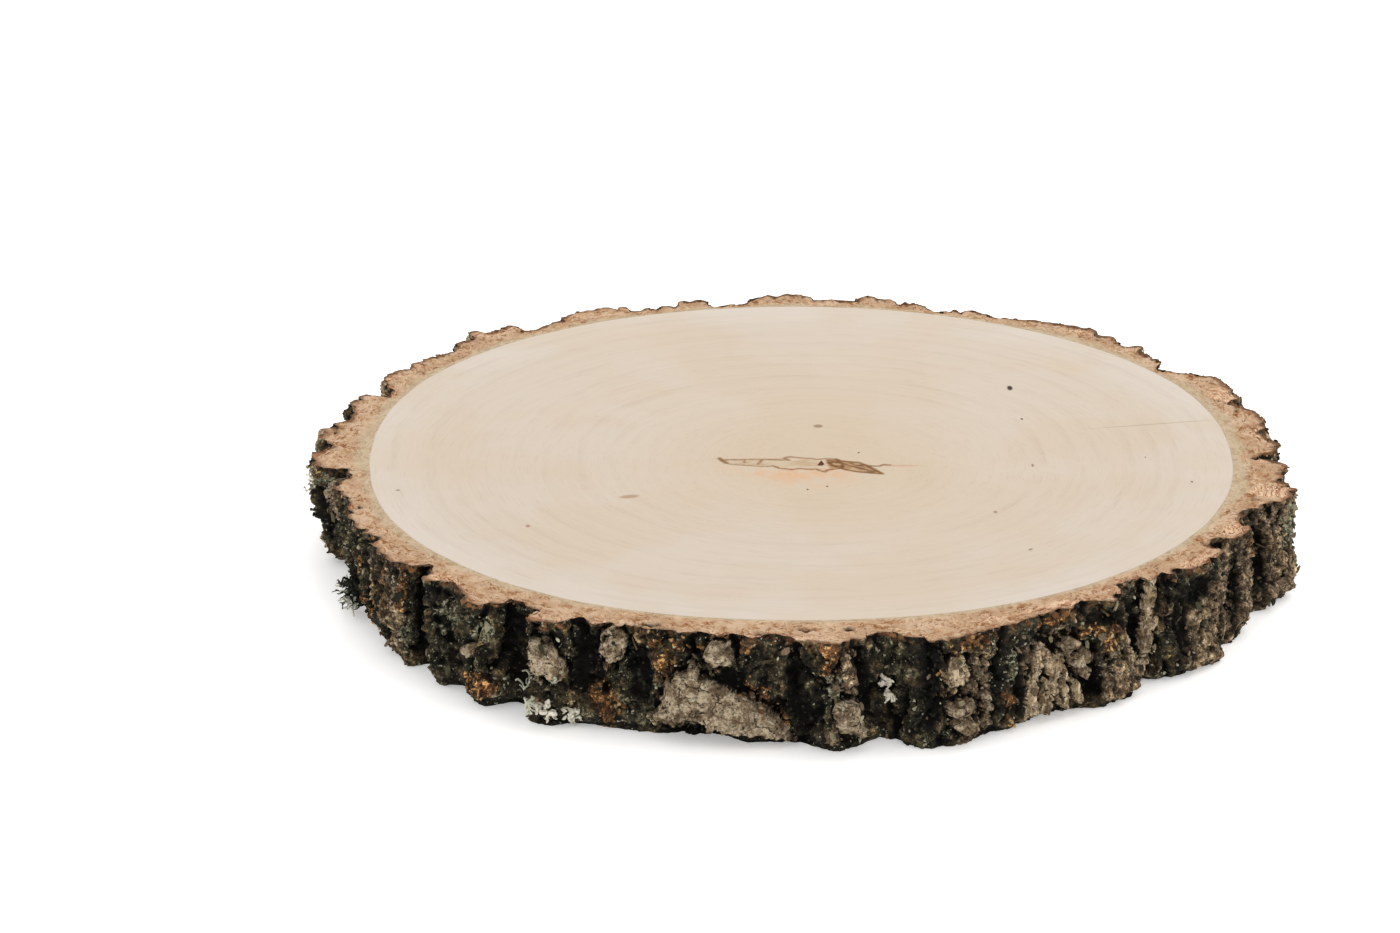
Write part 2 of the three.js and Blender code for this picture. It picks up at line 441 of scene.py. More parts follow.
def rib_relief(flat, warped):
    """How far the narrow upright scales stand out: ribs of uneven height with gaps between them."""
    _, gap, tone = cells(warped, 2.5, seed=19, stretch=(1, 1, 3.6))
    return 1.4 + 2.2 * (tone - 0.5) + 0.5 * rough(flat, 1.4, 3, seed=20) - 1.5 * (1 - smooth(0, 0.3, gap))


def wall_relief(flat, base, angles, heights, fields):
    """How far the bark's surface stands out of its plain shape, and how much of it is plate."""
    warp = np.degrees(2.2 * rough(flat, 6, 3, seed=4) / base)
    warped = around(angles + warp, base, heights + 1.2 * rough(flat, 5, 2, seed=16))
    on_paper = smooth(0.0, 0.3, fields["paper"])
    on_rib = smooth(-0.2, 0.3, fields["scale"]) * (1 - on_paper)
    on_plate = np.maximum(on_paper, on_rib)
    on_cork = smooth(-0.5, 1.0, fields["cork"])
    push = crust_relief(flat, warped) * (1 - 0.65 * on_cork) + cork_relief(warped) * on_cork
    push = push * (1 - on_plate) + paper_relief(flat, warped, fields["paper"]) * on_paper
    push += rib_relief(flat, warped) * on_rib
    beside = smooth(-2.0, -0.2, np.maximum(fields["paper"], fields["scale"]))
    sunk = HOLLOW_DEPTH * smooth(-0.6, 1.8, fields["hollow"])
    push -= np.maximum(sunk, PLATE_GAP * beside) * (1 - on_plate)
    push += 0.6 * smooth(-0.2, 0.5, fields["lichen"]) + 0.4 * smooth(-0.2, 0.6, fields["rust"])
    push -= FOOT_TUCK * (1 - smooth(0.4, 4.0, heights)) * smooth(-0.6, 0.4, rough(flat, 16, 2, seed=17))
    at, half_width, spread = FOOT_FLARE
    push += spread * np.exp(-((turn_between(at, angles) / half_width) ** 2)) * (1 - smooth(2, 16, heights))
    return push, on_plate


def cavity_depth(push):
    """How far each point lies below the bark about it, near and a little further away."""
    return 0.6 * (blur(push, 3, 4) - push) + 0.55 * (blur(push, 12, 14) - push)


def sculpt_wall():
    """The bark's surface as a grid of points, with the fields that colour it."""
    angles, heights = wall_grid()
    base = bark_radius(angles, heights)
    base += CRACK_FILL * np.maximum(blur(base, 10, 0) - base, 0)
    flat = around(angles, base, heights)
    fields = wall_fields(flat, angles, heights)
    push, on_plate = wall_relief(flat, base, angles, heights, fields)
    foot = FOOT_WEAR * (1 - smooth(0.8, 4.0, heights))
    brow = BROW_WEAR * smooth(THICKNESS - 2.0, THICKNESS - 0.5, heights)
    push = push * (1 - foot - brow) + blur(push, 6, 0) * foot + blur(push, 2, 0) * brow
    slide = np.stack([rough(flat, 2.2, 2, seed=seed) for seed in (11, 12, 13)], 1) * SLIDE
    slide *= ((1 - 0.8 * on_plate) * (1 - foot - brow))[:, None]
    points = flat + grid_normals(flat) * push[:, None] + slide
    on_edge = np.repeat([True] + [False] * (WALL_ROWS - 2) + [True], COLUMNS)
    inner = np.clip(points[:, 2], EDGE_CLEARANCE, THICKNESS - EDGE_CLEARANCE)
    points[:, 2] = np.where(on_edge, heights, inner)
    fields["cavity"] = cavity_depth(push)
    fields["rim"] = heights - THICKNESS + 1.6 + 1.6 * rough(flat, 5, 2, seed=18)
    return points, {name: np.clip(values, NO_PATCH, PATCH_LIMIT) for name, values in fields.items()}


def wall_layout():
    """Where each corner of the wall's quads lies on its texture, which stacks five stretches."""
    rows, columns = np.meshgrid(np.arange(WALL_ROWS - 1), np.arange(COLUMNS), indexing="ij")
    rows, columns = rows.ravel()[:, None], columns.ravel()[:, None]
    span = COLUMNS // STRETCHES
    across = (columns % span + np.array([0, 1, 1, 0])) / span
    up = (rows + np.array([0, 0, 1, 1])) / (WALL_ROWS - 1)
    u = SIDE_MARGIN + across * (1 - 2 * SIDE_MARGIN)
    v = (columns // span + STRETCH_MARGIN + up * (1 - 2 * STRETCH_MARGIN)) / STRETCHES
    return np.stack([u, v], 2)


# ---------------------------------------------------------------- shader helpers


def tone_of(red, green, blue):
    """A colour as the eye reads it, from 0 to 255, in the linear values that a shader takes."""
    shares = [value / 255 for value in (red, green, blue)]
    return (*[s / 12.92 if s <= 0.04045 else ((s + 0.055) / 1.055) ** 2.4 for s in shares], 1.0)


def plug(tree, socket, value):
    if isinstance(value, bpy.types.NodeSocket):
        tree.links.new(value, socket)
    else:
        socket.default_value = value


def add(tree, kind, inputs=None, **settings):
    made = tree.nodes.new(kind)
    for key, value in settings.items():
        setattr(made, key, value)
    for key, value in (inputs or {}).items():
        plug(tree, made.inputs[key], value)
    return made


def calc(tree, operation, *values, clamp=False):
    made = add(tree, "ShaderNodeMath", operation=operation, use_clamp=clamp)
    for socket, value in zip(made.inputs, values):
        plug(tree, socket, value)
    return made.outputs[0]


def fade(tree, value, low, high):
    """0 to 1 as the value goes from low to high."""
    made = add(
        tree,
        "ShaderNodeMapRange",
        {"Value": value, "From Min": low, "From Max": high},
        interpolation_type="SMOOTHSTEP",
    )
    return made.outputs["Result"]


def blend(tree, share, first, second, kind="MIX"):
    made = add(tree, "ShaderNodeMix", data_type="RGBA", blend_type=kind)
    for socket, value in zip((made.inputs[0], made.inputs[6], made.inputs[7]), (share, first, second)):
        plug(tree, socket, value)
    return made.outputs[2]


def field(tree, name):
    return add(tree, "ShaderNodeAttribute", attribute_name=name).outputs["Fac"]


def place(tree):
    return add(tree, "ShaderNodeTexCoord").outputs["Object"]


def grain(tree, where, size, detail=3.0, roughness=0.6, distortion=0.0):
    """Noise with lumps of this size in millimetres."""
    made = add(
        tree,
        "ShaderNodeTexNoise",
        {
            "Vector": where,
            "Scale": 1 / (size * MM),
            "Detail": detail,
            "Roughness": roughness,
            "Distortion": distortion,
        },
    )
    return made.outputs["Fac"]


def new_material(name):
    material = bpy.data.materials.new(name)
    material.use_nodes = True
    tree = material.node_tree
    return material, tree, tree.nodes["Principled BSDF"]


# ---------------------------------------------------------------- materials


def ramp(tree, value, stops):
    """A colour for each value from 0 to 1, blended between the stops."""
    made = add(tree, "ShaderNodeValToRGB", {"Fac": value})
    slots = made.color_ramp.elements
    while len(slots) < len(stops):
        slots.new(0.5)
    for slot, (position, colour) in zip(slots, stops):
        slot.position = position
        slot.color = colour
    return made.outputs["Color"]


def shifted(tree, where, scale):
    return add(tree, "ShaderNodeMapping", {"Vector": where, "Scale": scale}).outputs[0]


def warped_place(tree, where, size, amount):
    """A place pushed about by noise of this size, by about this many millimetres."""
    made = add(tree, "ShaderNodeTexNoise", {"Vector": where, "Scale": 1 / (size * MM), "Detail": 3.0})
    offset = add(tree, "ShaderNodeVectorMath", operation="SUBTRACT")
    plug(tree, offset.inputs[0], made.outputs["Color"])
    offset.inputs[1].default_value = (0.5, 0.5, 0.5)
    scaled = add(tree, "ShaderNodeVectorMath", operation="SCALE")
    plug(tree, scaled.inputs[0], offset.outputs[0])
    scaled.inputs["Scale"].default_value = amount * MM * 4
    total = add(tree, "ShaderNodeVectorMath", operation="ADD")
    plug(tree, total.inputs[0], where)
    plug(tree, total.inputs[1], scaled.outputs[0])
    return total.outputs[0]


def splits(tree, where, size, width):
    """1 on the lines between cells of this size in millimetres and 0 elsewhere."""
    sockets = {"Vector": where, "Scale": 1 / (size * MM)}
    made = add(tree, "ShaderNodeTexVoronoi", sockets, feature="DISTANCE_TO_EDGE")
    return calc(tree, "SUBTRACT", 1.0, fade(tree, made.outputs["Distance"], width * 0.4, width))


def inverse(tree, value):
    return calc(tree, "SUBTRACT", 1.0, value)


BLACK_CRUST = [
    (0.4, tone_of(13, 12, 9)), (0.5, tone_of(38, 32, 23)),
    (0.58, tone_of(77, 64, 45)), (0.67, tone_of(152, 131, 97)),
]
OLIVE_CRUST = [
    (0.4, tone_of(12, 12, 9)), (0.5, tone_of(34, 32, 24)),
    (0.58, tone_of(68, 63, 48)), (0.68, tone_of(144, 137, 111)),
]
BROWN_CORK = [
    (0.36, tone_of(20, 16, 12)), (0.47, tone_of(66, 54, 41)),
    (0.56, tone_of(120, 103, 81)), (0.68, tone_of(196, 177, 148)),
]
RUSTY_INNER_BARK = [
    (0.4, tone_of(20, 14, 9)), (0.49, tone_of(60, 40, 25)),
    (0.56, tone_of(108, 74, 43)), (0.63, tone_of(206, 162, 106)),
]
CRUSTY_LICHEN = [(0.38, tone_of(48, 48, 34)), (0.5, tone_of(104, 102, 80)), (0.62, tone_of(176, 172, 146))]
TORN_RIM = tone_of(98, 68, 43)
PLATE_TONES = (tone_of(122, 104, 82), tone_of(186, 169, 143))
PLATE_EDGE_SHADE = tone_of(62, 48, 33)
RIB_TONES = (tone_of(150, 130, 102), tone_of(222, 203, 172))
CRACK_TONE = tone_of(29, 23, 17)
FLECK_TONE = tone_of(190, 187, 160)
# painted shade for the insides of the hollows
HOLLOW_SHADE_TONE = tone_of(14, 13, 10)
# What colours are multiplied by: as a painted highlight where they catch the light, where a plate is worn,
# and between a rib's threads.
PAINTED_HIGHLIGHT_GAIN = (1.95, 1.9, 1.8, 1)
WORN_GAIN = (0.6, 0.56, 0.51, 1)
THREAD_GAIN = (0.56, 0.5, 0.43, 1)


def scaled(tree, colour, gain):
    return blend(tree, 1.0, colour, gain, "MULTIPLY")


def times(tree, first, second):
    return calc(tree, "MULTIPLY", first, second)


def centred(tree, value, amount):
    """Noise about zero, from noise about a half."""
    return times(tree, calc(tree, "SUBTRACT", value, 0.5), amount)


def bark_noises(tree, where):
    return {
        "fine": grain(tree, where, 0.9, 3, 0.65),
        "medium": grain(tree, where, 2.2, 4, 0.65),
        "broad": grain(tree, where, 8, 3),
        "mottled": grain(tree, where, 4.5, 5, 0.8),
        "gritty": grain(tree, where, 2.4, 5, 0.85),
        "stain": fade(tree, grain(tree, where, 3.4, 4, 0.7), 0.43, 0.57),
    }


def patch_mask(tree, noises, name, softness=0.14, raggedness=3.0):
    """1 inside the patches of this name and 0 outside them, with a ragged edge."""
    edge = centred(tree, noises["medium"], raggedness)
    return fade(tree, calc(tree, "ADD", field(tree, name), edge), -softness, softness)


def crust_colour(tree, noises):
    """The bark's rough skin: black or olive crust, brown cork, rusty inner bark and crusts of lichen, with a
    painted highlight on its crests.
    """
    black = ramp(tree, noises["mottled"], BLACK_CRUST)
    olive = ramp(tree, noises["mottled"], OLIVE_CRUST)
    colour = blend(tree, fade(tree, noises["broad"], 0.44, 0.56), black, olive)
    cork = ramp(tree, noises["gritty"], BROWN_CORK)
    colour = blend(tree, patch_mask(tree, noises, "cork", 0.5), colour, cork)
    rust = ramp(tree, noises["gritty"], RUSTY_INNER_BARK)
    colour = blend(tree, times(tree, patch_mask(tree, noises, "rust"), 0.94), colour, rust)
    torn = times(tree, patch_mask(tree, noises, "rim", 0.3), fade(tree, noises["medium"], 0.48, 0.6))
    colour = blend(tree, torn, colour, TORN_RIM)
    # painted highlight: colours lightened where the bark stands above the bark about it
    painted_highlight = fade(tree, field(tree, "cavity"), -0.2, -0.9)
    colour = blend(tree, painted_highlight, colour, scaled(tree, colour, PAINTED_HIGHLIGHT_GAIN))
    share = times(tree, patch_mask(tree, noises, "lichen"), fade(tree, noises["medium"], 0.44, 0.5))
    return blend(tree, share, colour, ramp(tree, noises["fine"], CRUSTY_LICHEN))


def plate_marks(tree, where):
    """The cracks in the pale plates, and the cracks with the dark pits between them."""
    bent = warped_place(tree, where, 4, 0.6)
    crack = times(tree, splits(tree, bent, 4.4, 0.05), fade(tree, grain(tree, where, 2.6, 3), 0.5, 0.56))
    pits = fade(tree, grain(tree, where, 1.1, 4, 0.75, 0.3), 0.56, 0.62)
    return crack, calc(tree, "MAXIMUM", times(tree, crack, 0.9), times(tree, pits, 0.92))


def plate_colour(tree, noises, marks):
    """Papery plates: stained, worn, with painted shade at the edge, cracked and pitted."""
    pale = blend(tree, noises["stain"], *PLATE_TONES)
    pale = blend(tree, fade(tree, noises["fine"], 0.44, 0.54), scaled(tree, pale, WORN_GAIN), pale)
    inward = calc(tree, "ADD", field(tree, "paper"), centred(tree, noises["medium"], 2.0))
    # painted shade: each plate darkens towards its outline
    pale = blend(tree, times(tree, inverse(tree, fade(tree, inward, 0.0, 0.4)), 0.45), pale, PLATE_EDGE_SHADE)
    return blend(tree, marks, pale, CRACK_TONE)


def rib_colour(tree, where, noises, crack, marks):
    """Upright ribs of grey cork with darker threads."""
    grey = blend(tree, noises["stain"], *RIB_TONES)
    thread = fade(tree, grain(tree, shifted(tree, where, (2.4, 2.4, 0.3)), 1.8, 4, 0.7), 0.45, 0.54)
    grey = blend(tree, thread, grey, scaled(tree, grey, THREAD_GAIN))
    share = calc(tree, "MAXIMUM", times(tree, crack, 0.9), times(tree, marks, 0.6))
    return blend(tree, share, grey, CRACK_TONE)


def shaded_bark(tree, noises, colour, on_paper, on_rib):
    """The bark's colour with painted shade: darkened in its cavities, and painted near-black in its hollows.
    """
    # painted shade: the colour is darkened where the bark lies below the bark about it, less on the plates
    depth = calc(tree, "SUBTRACT", 0.96, times(tree, on_paper, 0.5))
    shade = times(tree, fade(tree, field(tree, "cavity"), -0.15, 1.0), depth)
    colour = scaled(tree, colour, inverse(tree, shade))
    hollow = times(tree, patch_mask(tree, noises, "hollow", 0.7), 0.75)
    hollow = times(tree, hollow, inverse(tree, calc(tree, "MAXIMUM", on_paper, on_rib)))
    return blend(tree, hollow, colour, HOLLOW_SHADE_TONE)


def bark_material():
    material, tree, shader = new_material("weathered_bark")
    where = place(tree)
    noises = bark_noises(tree, where)
    on_paper = patch_mask(tree, noises, "paper", 0.1, 1.6)
    on_rib = patch_mask(tree, noises, "scale", 0.12, 2.0)
    crack, marks = plate_marks(tree, where)
    colour = crust_colour(tree, noises)
    colour = blend(tree, on_paper, colour, plate_colour(tree, noises, marks))
    colour = blend(tree, on_rib, colour, rib_colour(tree, where, noises, crack, marks))
    fleck = fade(tree, grain(tree, where, 1.0, 2, 0.5), 0.64, 0.68)
    fleck = times(tree, fleck, fade(tree, noises["broad"], 0.46, 0.58))
    colour = blend(tree, times(tree, fleck, 0.75), colour, FLECK_TONE)
    colour = shaded_bark(tree, noises, colour, on_paper, on_rib)
    tree.links.new(colour, shader.inputs["Base Color"])
    shader.inputs["Roughness"].default_value = 0.88
    shader.inputs["Specular IOR Level"].default_value = 0.15
    bump = add(tree, "ShaderNodeBump", {"Height": noises["fine"], "Distance": 0.0008, "Strength": 1.0})
    tree.links.new(bump.outputs["Normal"], shader.inputs["Normal"])
    return material


# ---------------------------------------------------------------- the sawn wood's material

# Growth rings: how far out each lies, from 0 at the pith to 1 at the bark, and how dark it is.
GROWTH_RINGS = [
    (0.3, 0.3), (0.385, 0.35), (0.47, 0.6), (0.54, 1.0), (0.62, 0.6),
    (0.68, 0.6), (0.76, 0.8), (0.82, 0.7), (0.873, 0.6), (0.952, 0.8),
]
RING_WIDTH = 0.009
STREAK_REACH = 90.0  # streaks are as long as asked for at this distance from the pith, in millimetres
HEARTWOOD = tone_of(194, 177, 156)
SAPWOOD = tone_of(196, 183, 168)
OUTER_SAPWOOD = tone_of(199, 188, 176)
WARM_WOOD = tone_of(193, 173, 148)
GRAIN_TONE = tone_of(142, 114, 86)
PITH_TINT = tone_of(203, 158, 120)
PITH_CLOUD = tone_of(166, 134, 96)
PITH_HOLE = tone_of(84, 46, 24)
# What the wood's colour is multiplied by in the pith's brown stain and on its lines.
STAIN_GAINS = ((0.56, 0.42, 0.3, 1), (0.86, 0.71, 0.55, 1))
LINE_GAIN = (0.46, 0.32, 0.2, 1)
INNER_BARK = [(0.38, tone_of(136, 92, 59)), (0.48, tone_of(180, 143, 109)), (0.62, tone_of(208, 179, 148))]
SMOOTH_INNER_BARK = (tone_of(180, 149, 119), tone_of(202, 175, 147))
BARK_SHEETS = [(0.4, tone_of(108, 62, 38)), (0.48, tone_of(196, 150, 114)), (0.56, tone_of(223, 192, 161))]
STREAK_TONE = tone_of(128, 74, 42)
GRANULE_TONE = tone_of(112, 68, 40)
CAMBIUM_TONES = (tone_of(170, 149, 119), tone_of(190, 171, 143))
FRAYED_EDGE = tone_of(88, 55, 32)
SLOT_SHADE_TONE = tone_of(22, 15, 11)


def ring_darkness(tree, growth):
    """0 between growth rings, rising to each ring's darkness along it."""
    stops = [(0.0, (0, 0, 0, 1))]
    for position, darkness in GROWTH_RINGS:
        stops.append((position - RING_WIDTH * 2.4, (0, 0, 0, 1)))
        stops.append((position, (darkness, darkness, darkness, 1)))
        stops.append((position + RING_WIDTH * 0.7, (0, 0, 0, 1)))
    return ramp(tree, growth, stops)


def about_pith(tree, where):
    """The direction from the pith to each place, and the distance in metres."""
    away = add(tree, "ShaderNodeVectorMath", operation="SUBTRACT")
    plug(tree, away.inputs[0], where)
    away.inputs[1].default_value = (PITH[0] * MM, PITH[1] * MM, 0)
    level = add(tree, "ShaderNodeVectorMath", operation="MULTIPLY")
    plug(tree, level.inputs[0], away.outputs[0])
    level.inputs[1].default_value = (1, 1, 0)
    length = add(tree, "ShaderNodeVectorMath", operation="LENGTH")
    plug(tree, length.inputs[0], level.outputs[0])
    unit = add(tree, "ShaderNodeVectorMath", operation="NORMALIZE")
    plug(tree, unit.inputs[0], level.outputs[0])
    return unit.outputs[0], length.outputs["Value"]


def curled(tree, unit, distance, length, width):
    """Coordinates for streaks along the rings, of about this length and width in millimetres."""
    around_pith = add(tree, "ShaderNodeVectorMath", operation="SCALE")
    plug(tree, around_pith.inputs[0], unit)
    around_pith.inputs["Scale"].default_value = STREAK_REACH / length
    parts = add(tree, "ShaderNodeSeparateXYZ", {"Vector": around_pith.outputs[0]})
    outward = calc(tree, "MULTIPLY", distance, 1 / (width * MM))
    sockets = {"X": parts.outputs[0], "Y": parts.outputs[1], "Z": outward}
    return add(tree, "ShaderNodeCombineXYZ", sockets).outputs[0]


def raw_grain(tree, vector, detail=3.0, roughness=0.6):
    sockets = {"Vector": vector, "Scale": 1.0, "Detail": detail, "Roughness": roughness}
    made = add(tree, "ShaderNodeTexNoise", sockets)
    return made.outputs["Fac"]


def oval_mark(tree, where, centre, half_sizes, turn=0.0, softness=0.4):
    """1 inside an oval mark on the sawn face and 0 outside it."""
    moved = add(tree, "ShaderNodeMapping", {"Vector": where}, vector_type="TEXTURE")
    moved.inputs["Location"].default_value = (centre[0] * MM, centre[1] * MM, 0)
    moved.inputs["Rotation"].default_value = (0, 0, math.radians(turn))
    moved.inputs["Scale"].default_value = (half_sizes[0] * MM, half_sizes[1] * MM, 1e6)
    length = add(tree, "ShaderNodeVectorMath", operation="LENGTH")
    plug(tree, length.inputs[0], moved.outputs[0])
    return inverse(tree, fade(tree, length.outputs["Value"], 1 - softness, 1 + softness))


def wood_tint(tree, where, growth):
    """The plain wood's colour from the pith outwards."""
    tint = blend(tree, fade(tree, growth, 0.1, 0.55), HEARTWOOD, SAPWOOD)
    tint = blend(tree, fade(tree, growth, 0.84, 0.97), tint, OUTER_SAPWOOD)
    warm = times(tree, fade(tree, grain(tree, where, 40, 2), 0.4, 0.62), 0.35)
    return blend(tree, warm, tint, WARM_WOOD)


def wood_grain(tree, where, unit, distance, growth):
    """How dark the wood's streaks and growth rings are."""
    fine = fade(tree, raw_grain(tree, curled(tree, unit, distance, 10, 0.5)), 0.54, 0.72)
    short = fade(tree, raw_grain(tree, curled(tree, unit, distance, 5, 1.1)), 0.56, 0.74)
    broad = fade(tree, raw_grain(tree, curled(tree, unit, distance, 50, 1.6)), 0.4, 0.75)
    rings = times(tree, ring_darkness(tree, growth), fade(tree, grain(tree, where, 22, 3), 0.34, 0.62))
    dark = 0.0
    for layer, strength in ((fine, 0.13), (short, 0.06), (broad, 0.04), (rings, 0.11)):
        dark = calc(tree, "ADD", dark, times(tree, layer, strength))
    return dark


def wood_colour(tree, where, unit, distance):
    growth = calc(tree, "ADD", field(tree, "growth"), centred(tree, grain(tree, where, 26, 3), 0.03))
    tint = wood_tint(tree, where, growth)
    tint = blend(tree, wood_grain(tree, where, unit, distance, growth), tint, GRAIN_TONE)
    cloud = fade(tree, grain(tree, where, 7, 4, 0.65), 0.34, 0.62)
    for centre, half_sizes, turn, strength in PITH_TINTS:
        mark = times(tree, oval_mark(tree, where, centre, half_sizes, turn, 0.75), strength)
        tint = blend(tree, times(tree, mark, cloud), tint, PITH_TINT)
    for centre, half_sizes, turn, strength, tone in WOOD_MARKS:
        mark = times(tree, oval_mark(tree, where, centre, half_sizes, turn), strength)
        tint = blend(tree, mark, tint, tone_of(*tone))
    return pith_colour(tree, where, tint)


def pith_colour(tree, where, tint):
    """The wood's colour with the brown mark about the pith laid over it."""
    wobble = centred(tree, grain(tree, where, 1.4, 3), 0.9)
    loop = fade(tree, calc(tree, "ADD", field(tree, "pith_loop"), wobble), -0.5, 0.8)
    cloud = fade(tree, grain(tree, shifted(tree, where, (0.5, 1.4, 1)), 3, 3), 0.35, 0.65)
    tint = blend(tree, times(tree, loop, times(tree, cloud, 0.6)), tint, PITH_CLOUD)
    stain = fade(tree, calc(tree, "ADD", field(tree, "pith_stain"), wobble), -0.5, 0.7)
    braid = fade(tree, grain(tree, shifted(tree, where, (0.6, 1.5, 1)), 1.8, 4, 0.65), 0.42, 0.6)
    tint = blend(tree, stain, tint, blend(tree, braid, *STAIN_GAINS), "MULTIPLY")
    line = fade(tree, calc(tree, "ADD", field(tree, "pith_line"), wobble), -0.45, 0.5)
    tint = blend(tree, line, tint, LINE_GAIN, "MULTIPLY")
    return blend(tree, fade(tree, field(tree, "pith_dot"), -0.15, 0.15), tint, PITH_HOLE)


def inner_bark_flesh(tree, where, unit, bent, share, fibre):
    """The sawn inner bark: fibrous, with smooth facets and brown streaks along the rim."""
    flesh = ramp(tree, fibre, INNER_BARK)
    facet = fade(tree, grain(tree, where, 4.6, 4, 0.7, 0.6), 0.47, 0.55)
    plain = blend(tree, fade(tree, grain(tree, where, 11, 2), 0.42, 0.58), *SMOOTH_INNER_BARK)
    flesh = blend(tree, times(tree, facet, 0.75), flesh, plain)
    streak = fade(tree, raw_grain(tree, curled(tree, unit, bent, 3.2, 0.5), 3, 0.7), 0.55, 0.63)
    reach = calc(tree, "ADD", 0.3, times(tree, fade(tree, share, 0.3, 0.95), 0.55))
    reach = times(tree, reach, inverse(tree, times(tree, facet, 0.8)))
    return blend(tree, times(tree, streak, reach), flesh, STREAK_TONE), facet


def layered_flesh(tree, where, unit, bent, fibre, flesh):
    """The inner bark with its stacks of thin layers and its dark granules."""
    layers = fade(tree, calc(tree, "ADD", field(tree, "layered"), centred(tree, fibre, 3)), -0.4, 0.5)
    sheet = raw_grain(tree, curled(tree, unit, bent, 9, 0.55), 3, 0.6)
    flesh = blend(tree, times(tree, layers, 0.9), flesh, ramp(tree, sheet, BARK_SHEETS))
    patchy = fade(tree, grain(tree, where, 9, 2), 0.4, 0.56)
    granules = times(tree, fade(tree, grain(tree, where, 1.0, 4, 0.7), 0.56, 0.62), patchy)
    return blend(tree, times(tree, granules, 0.8), flesh, GRANULE_TONE)


def sawn_bark_colour(tree, where, unit, distance):
    share = field(tree, "bark_share")
    bent = calc(tree, "ADD", distance, centred(tree, grain(tree, where, 7, 3), 0.014))
    fibre = raw_grain(tree, curled(tree, unit, bent, 4, 1.1), 4, 0.72)
    flesh, facet = inner_bark_flesh(tree, where, unit, bent, share, fibre)
    flesh = layered_flesh(tree, where, unit, bent, fibre, flesh)
    outward = calc(tree, "ADD", field(tree, "cambium"), centred(tree, facet, 0.3))
    cambium = times(tree, inverse(tree, fade(tree, outward, 0.75, 1.15)), 0.85)
    flesh = blend(tree, cambium, flesh, blend(tree, fade(tree, fibre, 0.4, 0.58), *CAMBIUM_TONES))
    crust = fade(tree, calc(tree, "ADD", share, centred(tree, fibre, 0.5)), 0.86, 0.97)
    flesh = blend(tree, times(tree, crust, 0.75), flesh, FRAYED_EDGE)
    # the slots are sunk into the face and painted near-black as painted shade
    return blend(tree, fade(tree, field(tree, "slot"), -0.2, 0.25), flesh, SLOT_SHADE_TONE)


def wood_material():
    material, tree, shader = new_material("sawn_birch")
    where = place(tree)
    unit, distance = about_pith(tree, where)
    wood = wood_colour(tree, where, unit, distance)
    bark = sawn_bark_colour(tree, where, unit, distance)
    band = fade(tree, field(tree, "bark_share"), 0.0, 0.04)
    tree.links.new(blend(tree, band, wood, bark), shader.inputs["Base Color"])
    shader.inputs["Roughness"].default_value = 0.72
    shader.inputs["Specular IOR Level"].default_value = 0.06
    share = calc(tree, "ADD", calc(tree, "MULTIPLY", band, 0.9), 0.1)
    tooth = calc(tree, "MULTIPLY", grain(tree, where, 0.8, 3), share)
    bump = add(tree, "ShaderNodeBump", {"Height": tooth, "Distance": 0.0006, "Strength": 0.9})
    tree.links.new(bump.outputs["Normal"], shader.inputs["Normal"])
    return material


def wear_group():
    """The wear that all small pieces share: a shade for their colour, and the height of their grain."""
    group = bpy.data.node_groups.new("wear", "ShaderNodeTree")
    group.interface.new_socket("Depth", in_out="INPUT", socket_type="NodeSocketFloat")
    for name in ("Shade", "Height"):
        group.interface.new_socket(name, in_out="OUTPUT", socket_type="NodeSocketFloat")
    where = place(group)
    worn = inverse(group, fade(group, grain(group, where, 0.7, 3), 0.3, 0.6))
    shade = inverse(group, times(group, worn, add(group, "NodeGroupInput").outputs["Depth"]))
    add(group, "NodeGroupOutput", {"Shade": shade, "Height": grain(group, where, 0.5, 2)})
    return group


WEAR = wear_group()


def fragment_material(name, tones, roughness, wear_depth):
    """For small pieces whose tone, from 0 to 1, picks one of these colours."""
    material, tree, shader = new_material(name)
    stops = [(position, tone_of(*tone)) for position, tone in tones]
    wear = add(tree, "ShaderNodeGroup", node_tree=WEAR)
    wear.inputs["Depth"].default_value = wear_depth
    colour = scaled(tree, ramp(tree, field(tree, "tone"), stops), wear.outputs["Shade"])
    tree.links.new(colour, shader.inputs["Base Color"])
    shader.inputs["Roughness"].default_value = roughness
    shader.inputs["Specular IOR Level"].default_value = 0.2
    sockets = {"Height": wear.outputs["Height"], "Distance": 0.0003, "Strength": 0.7}
    bump = add(tree, "ShaderNodeBump", sockets)
    tree.links.new(bump.outputs["Normal"], shader.inputs["Normal"])
    return material


# ---------------------------------------------------------------- the sawn faces

# At even steps round the hub: the wood's radius, and how much of the bark's width the tan layer
# next to the wood takes.
WOOD_RADII = [125, 127, 127, 126, 126, 125, 122.5, 126.5, 128.5, 126.5, 127.5, 126.5]
CAMBIUM_SHARES = [0.32, 0.36, 0.34, 0.28, 0.26, 0.28, 0.3, 0.26, 0.16, 0.13, 0.16, 0.2]
PITH = HUB + np.array([7.0, -11.2])
PITH_RADIUS = 0.3
PITH_REACH = 34.0  # how far from the pith its mark is looked for
MEAN_WOOD_RADIUS = 126.0
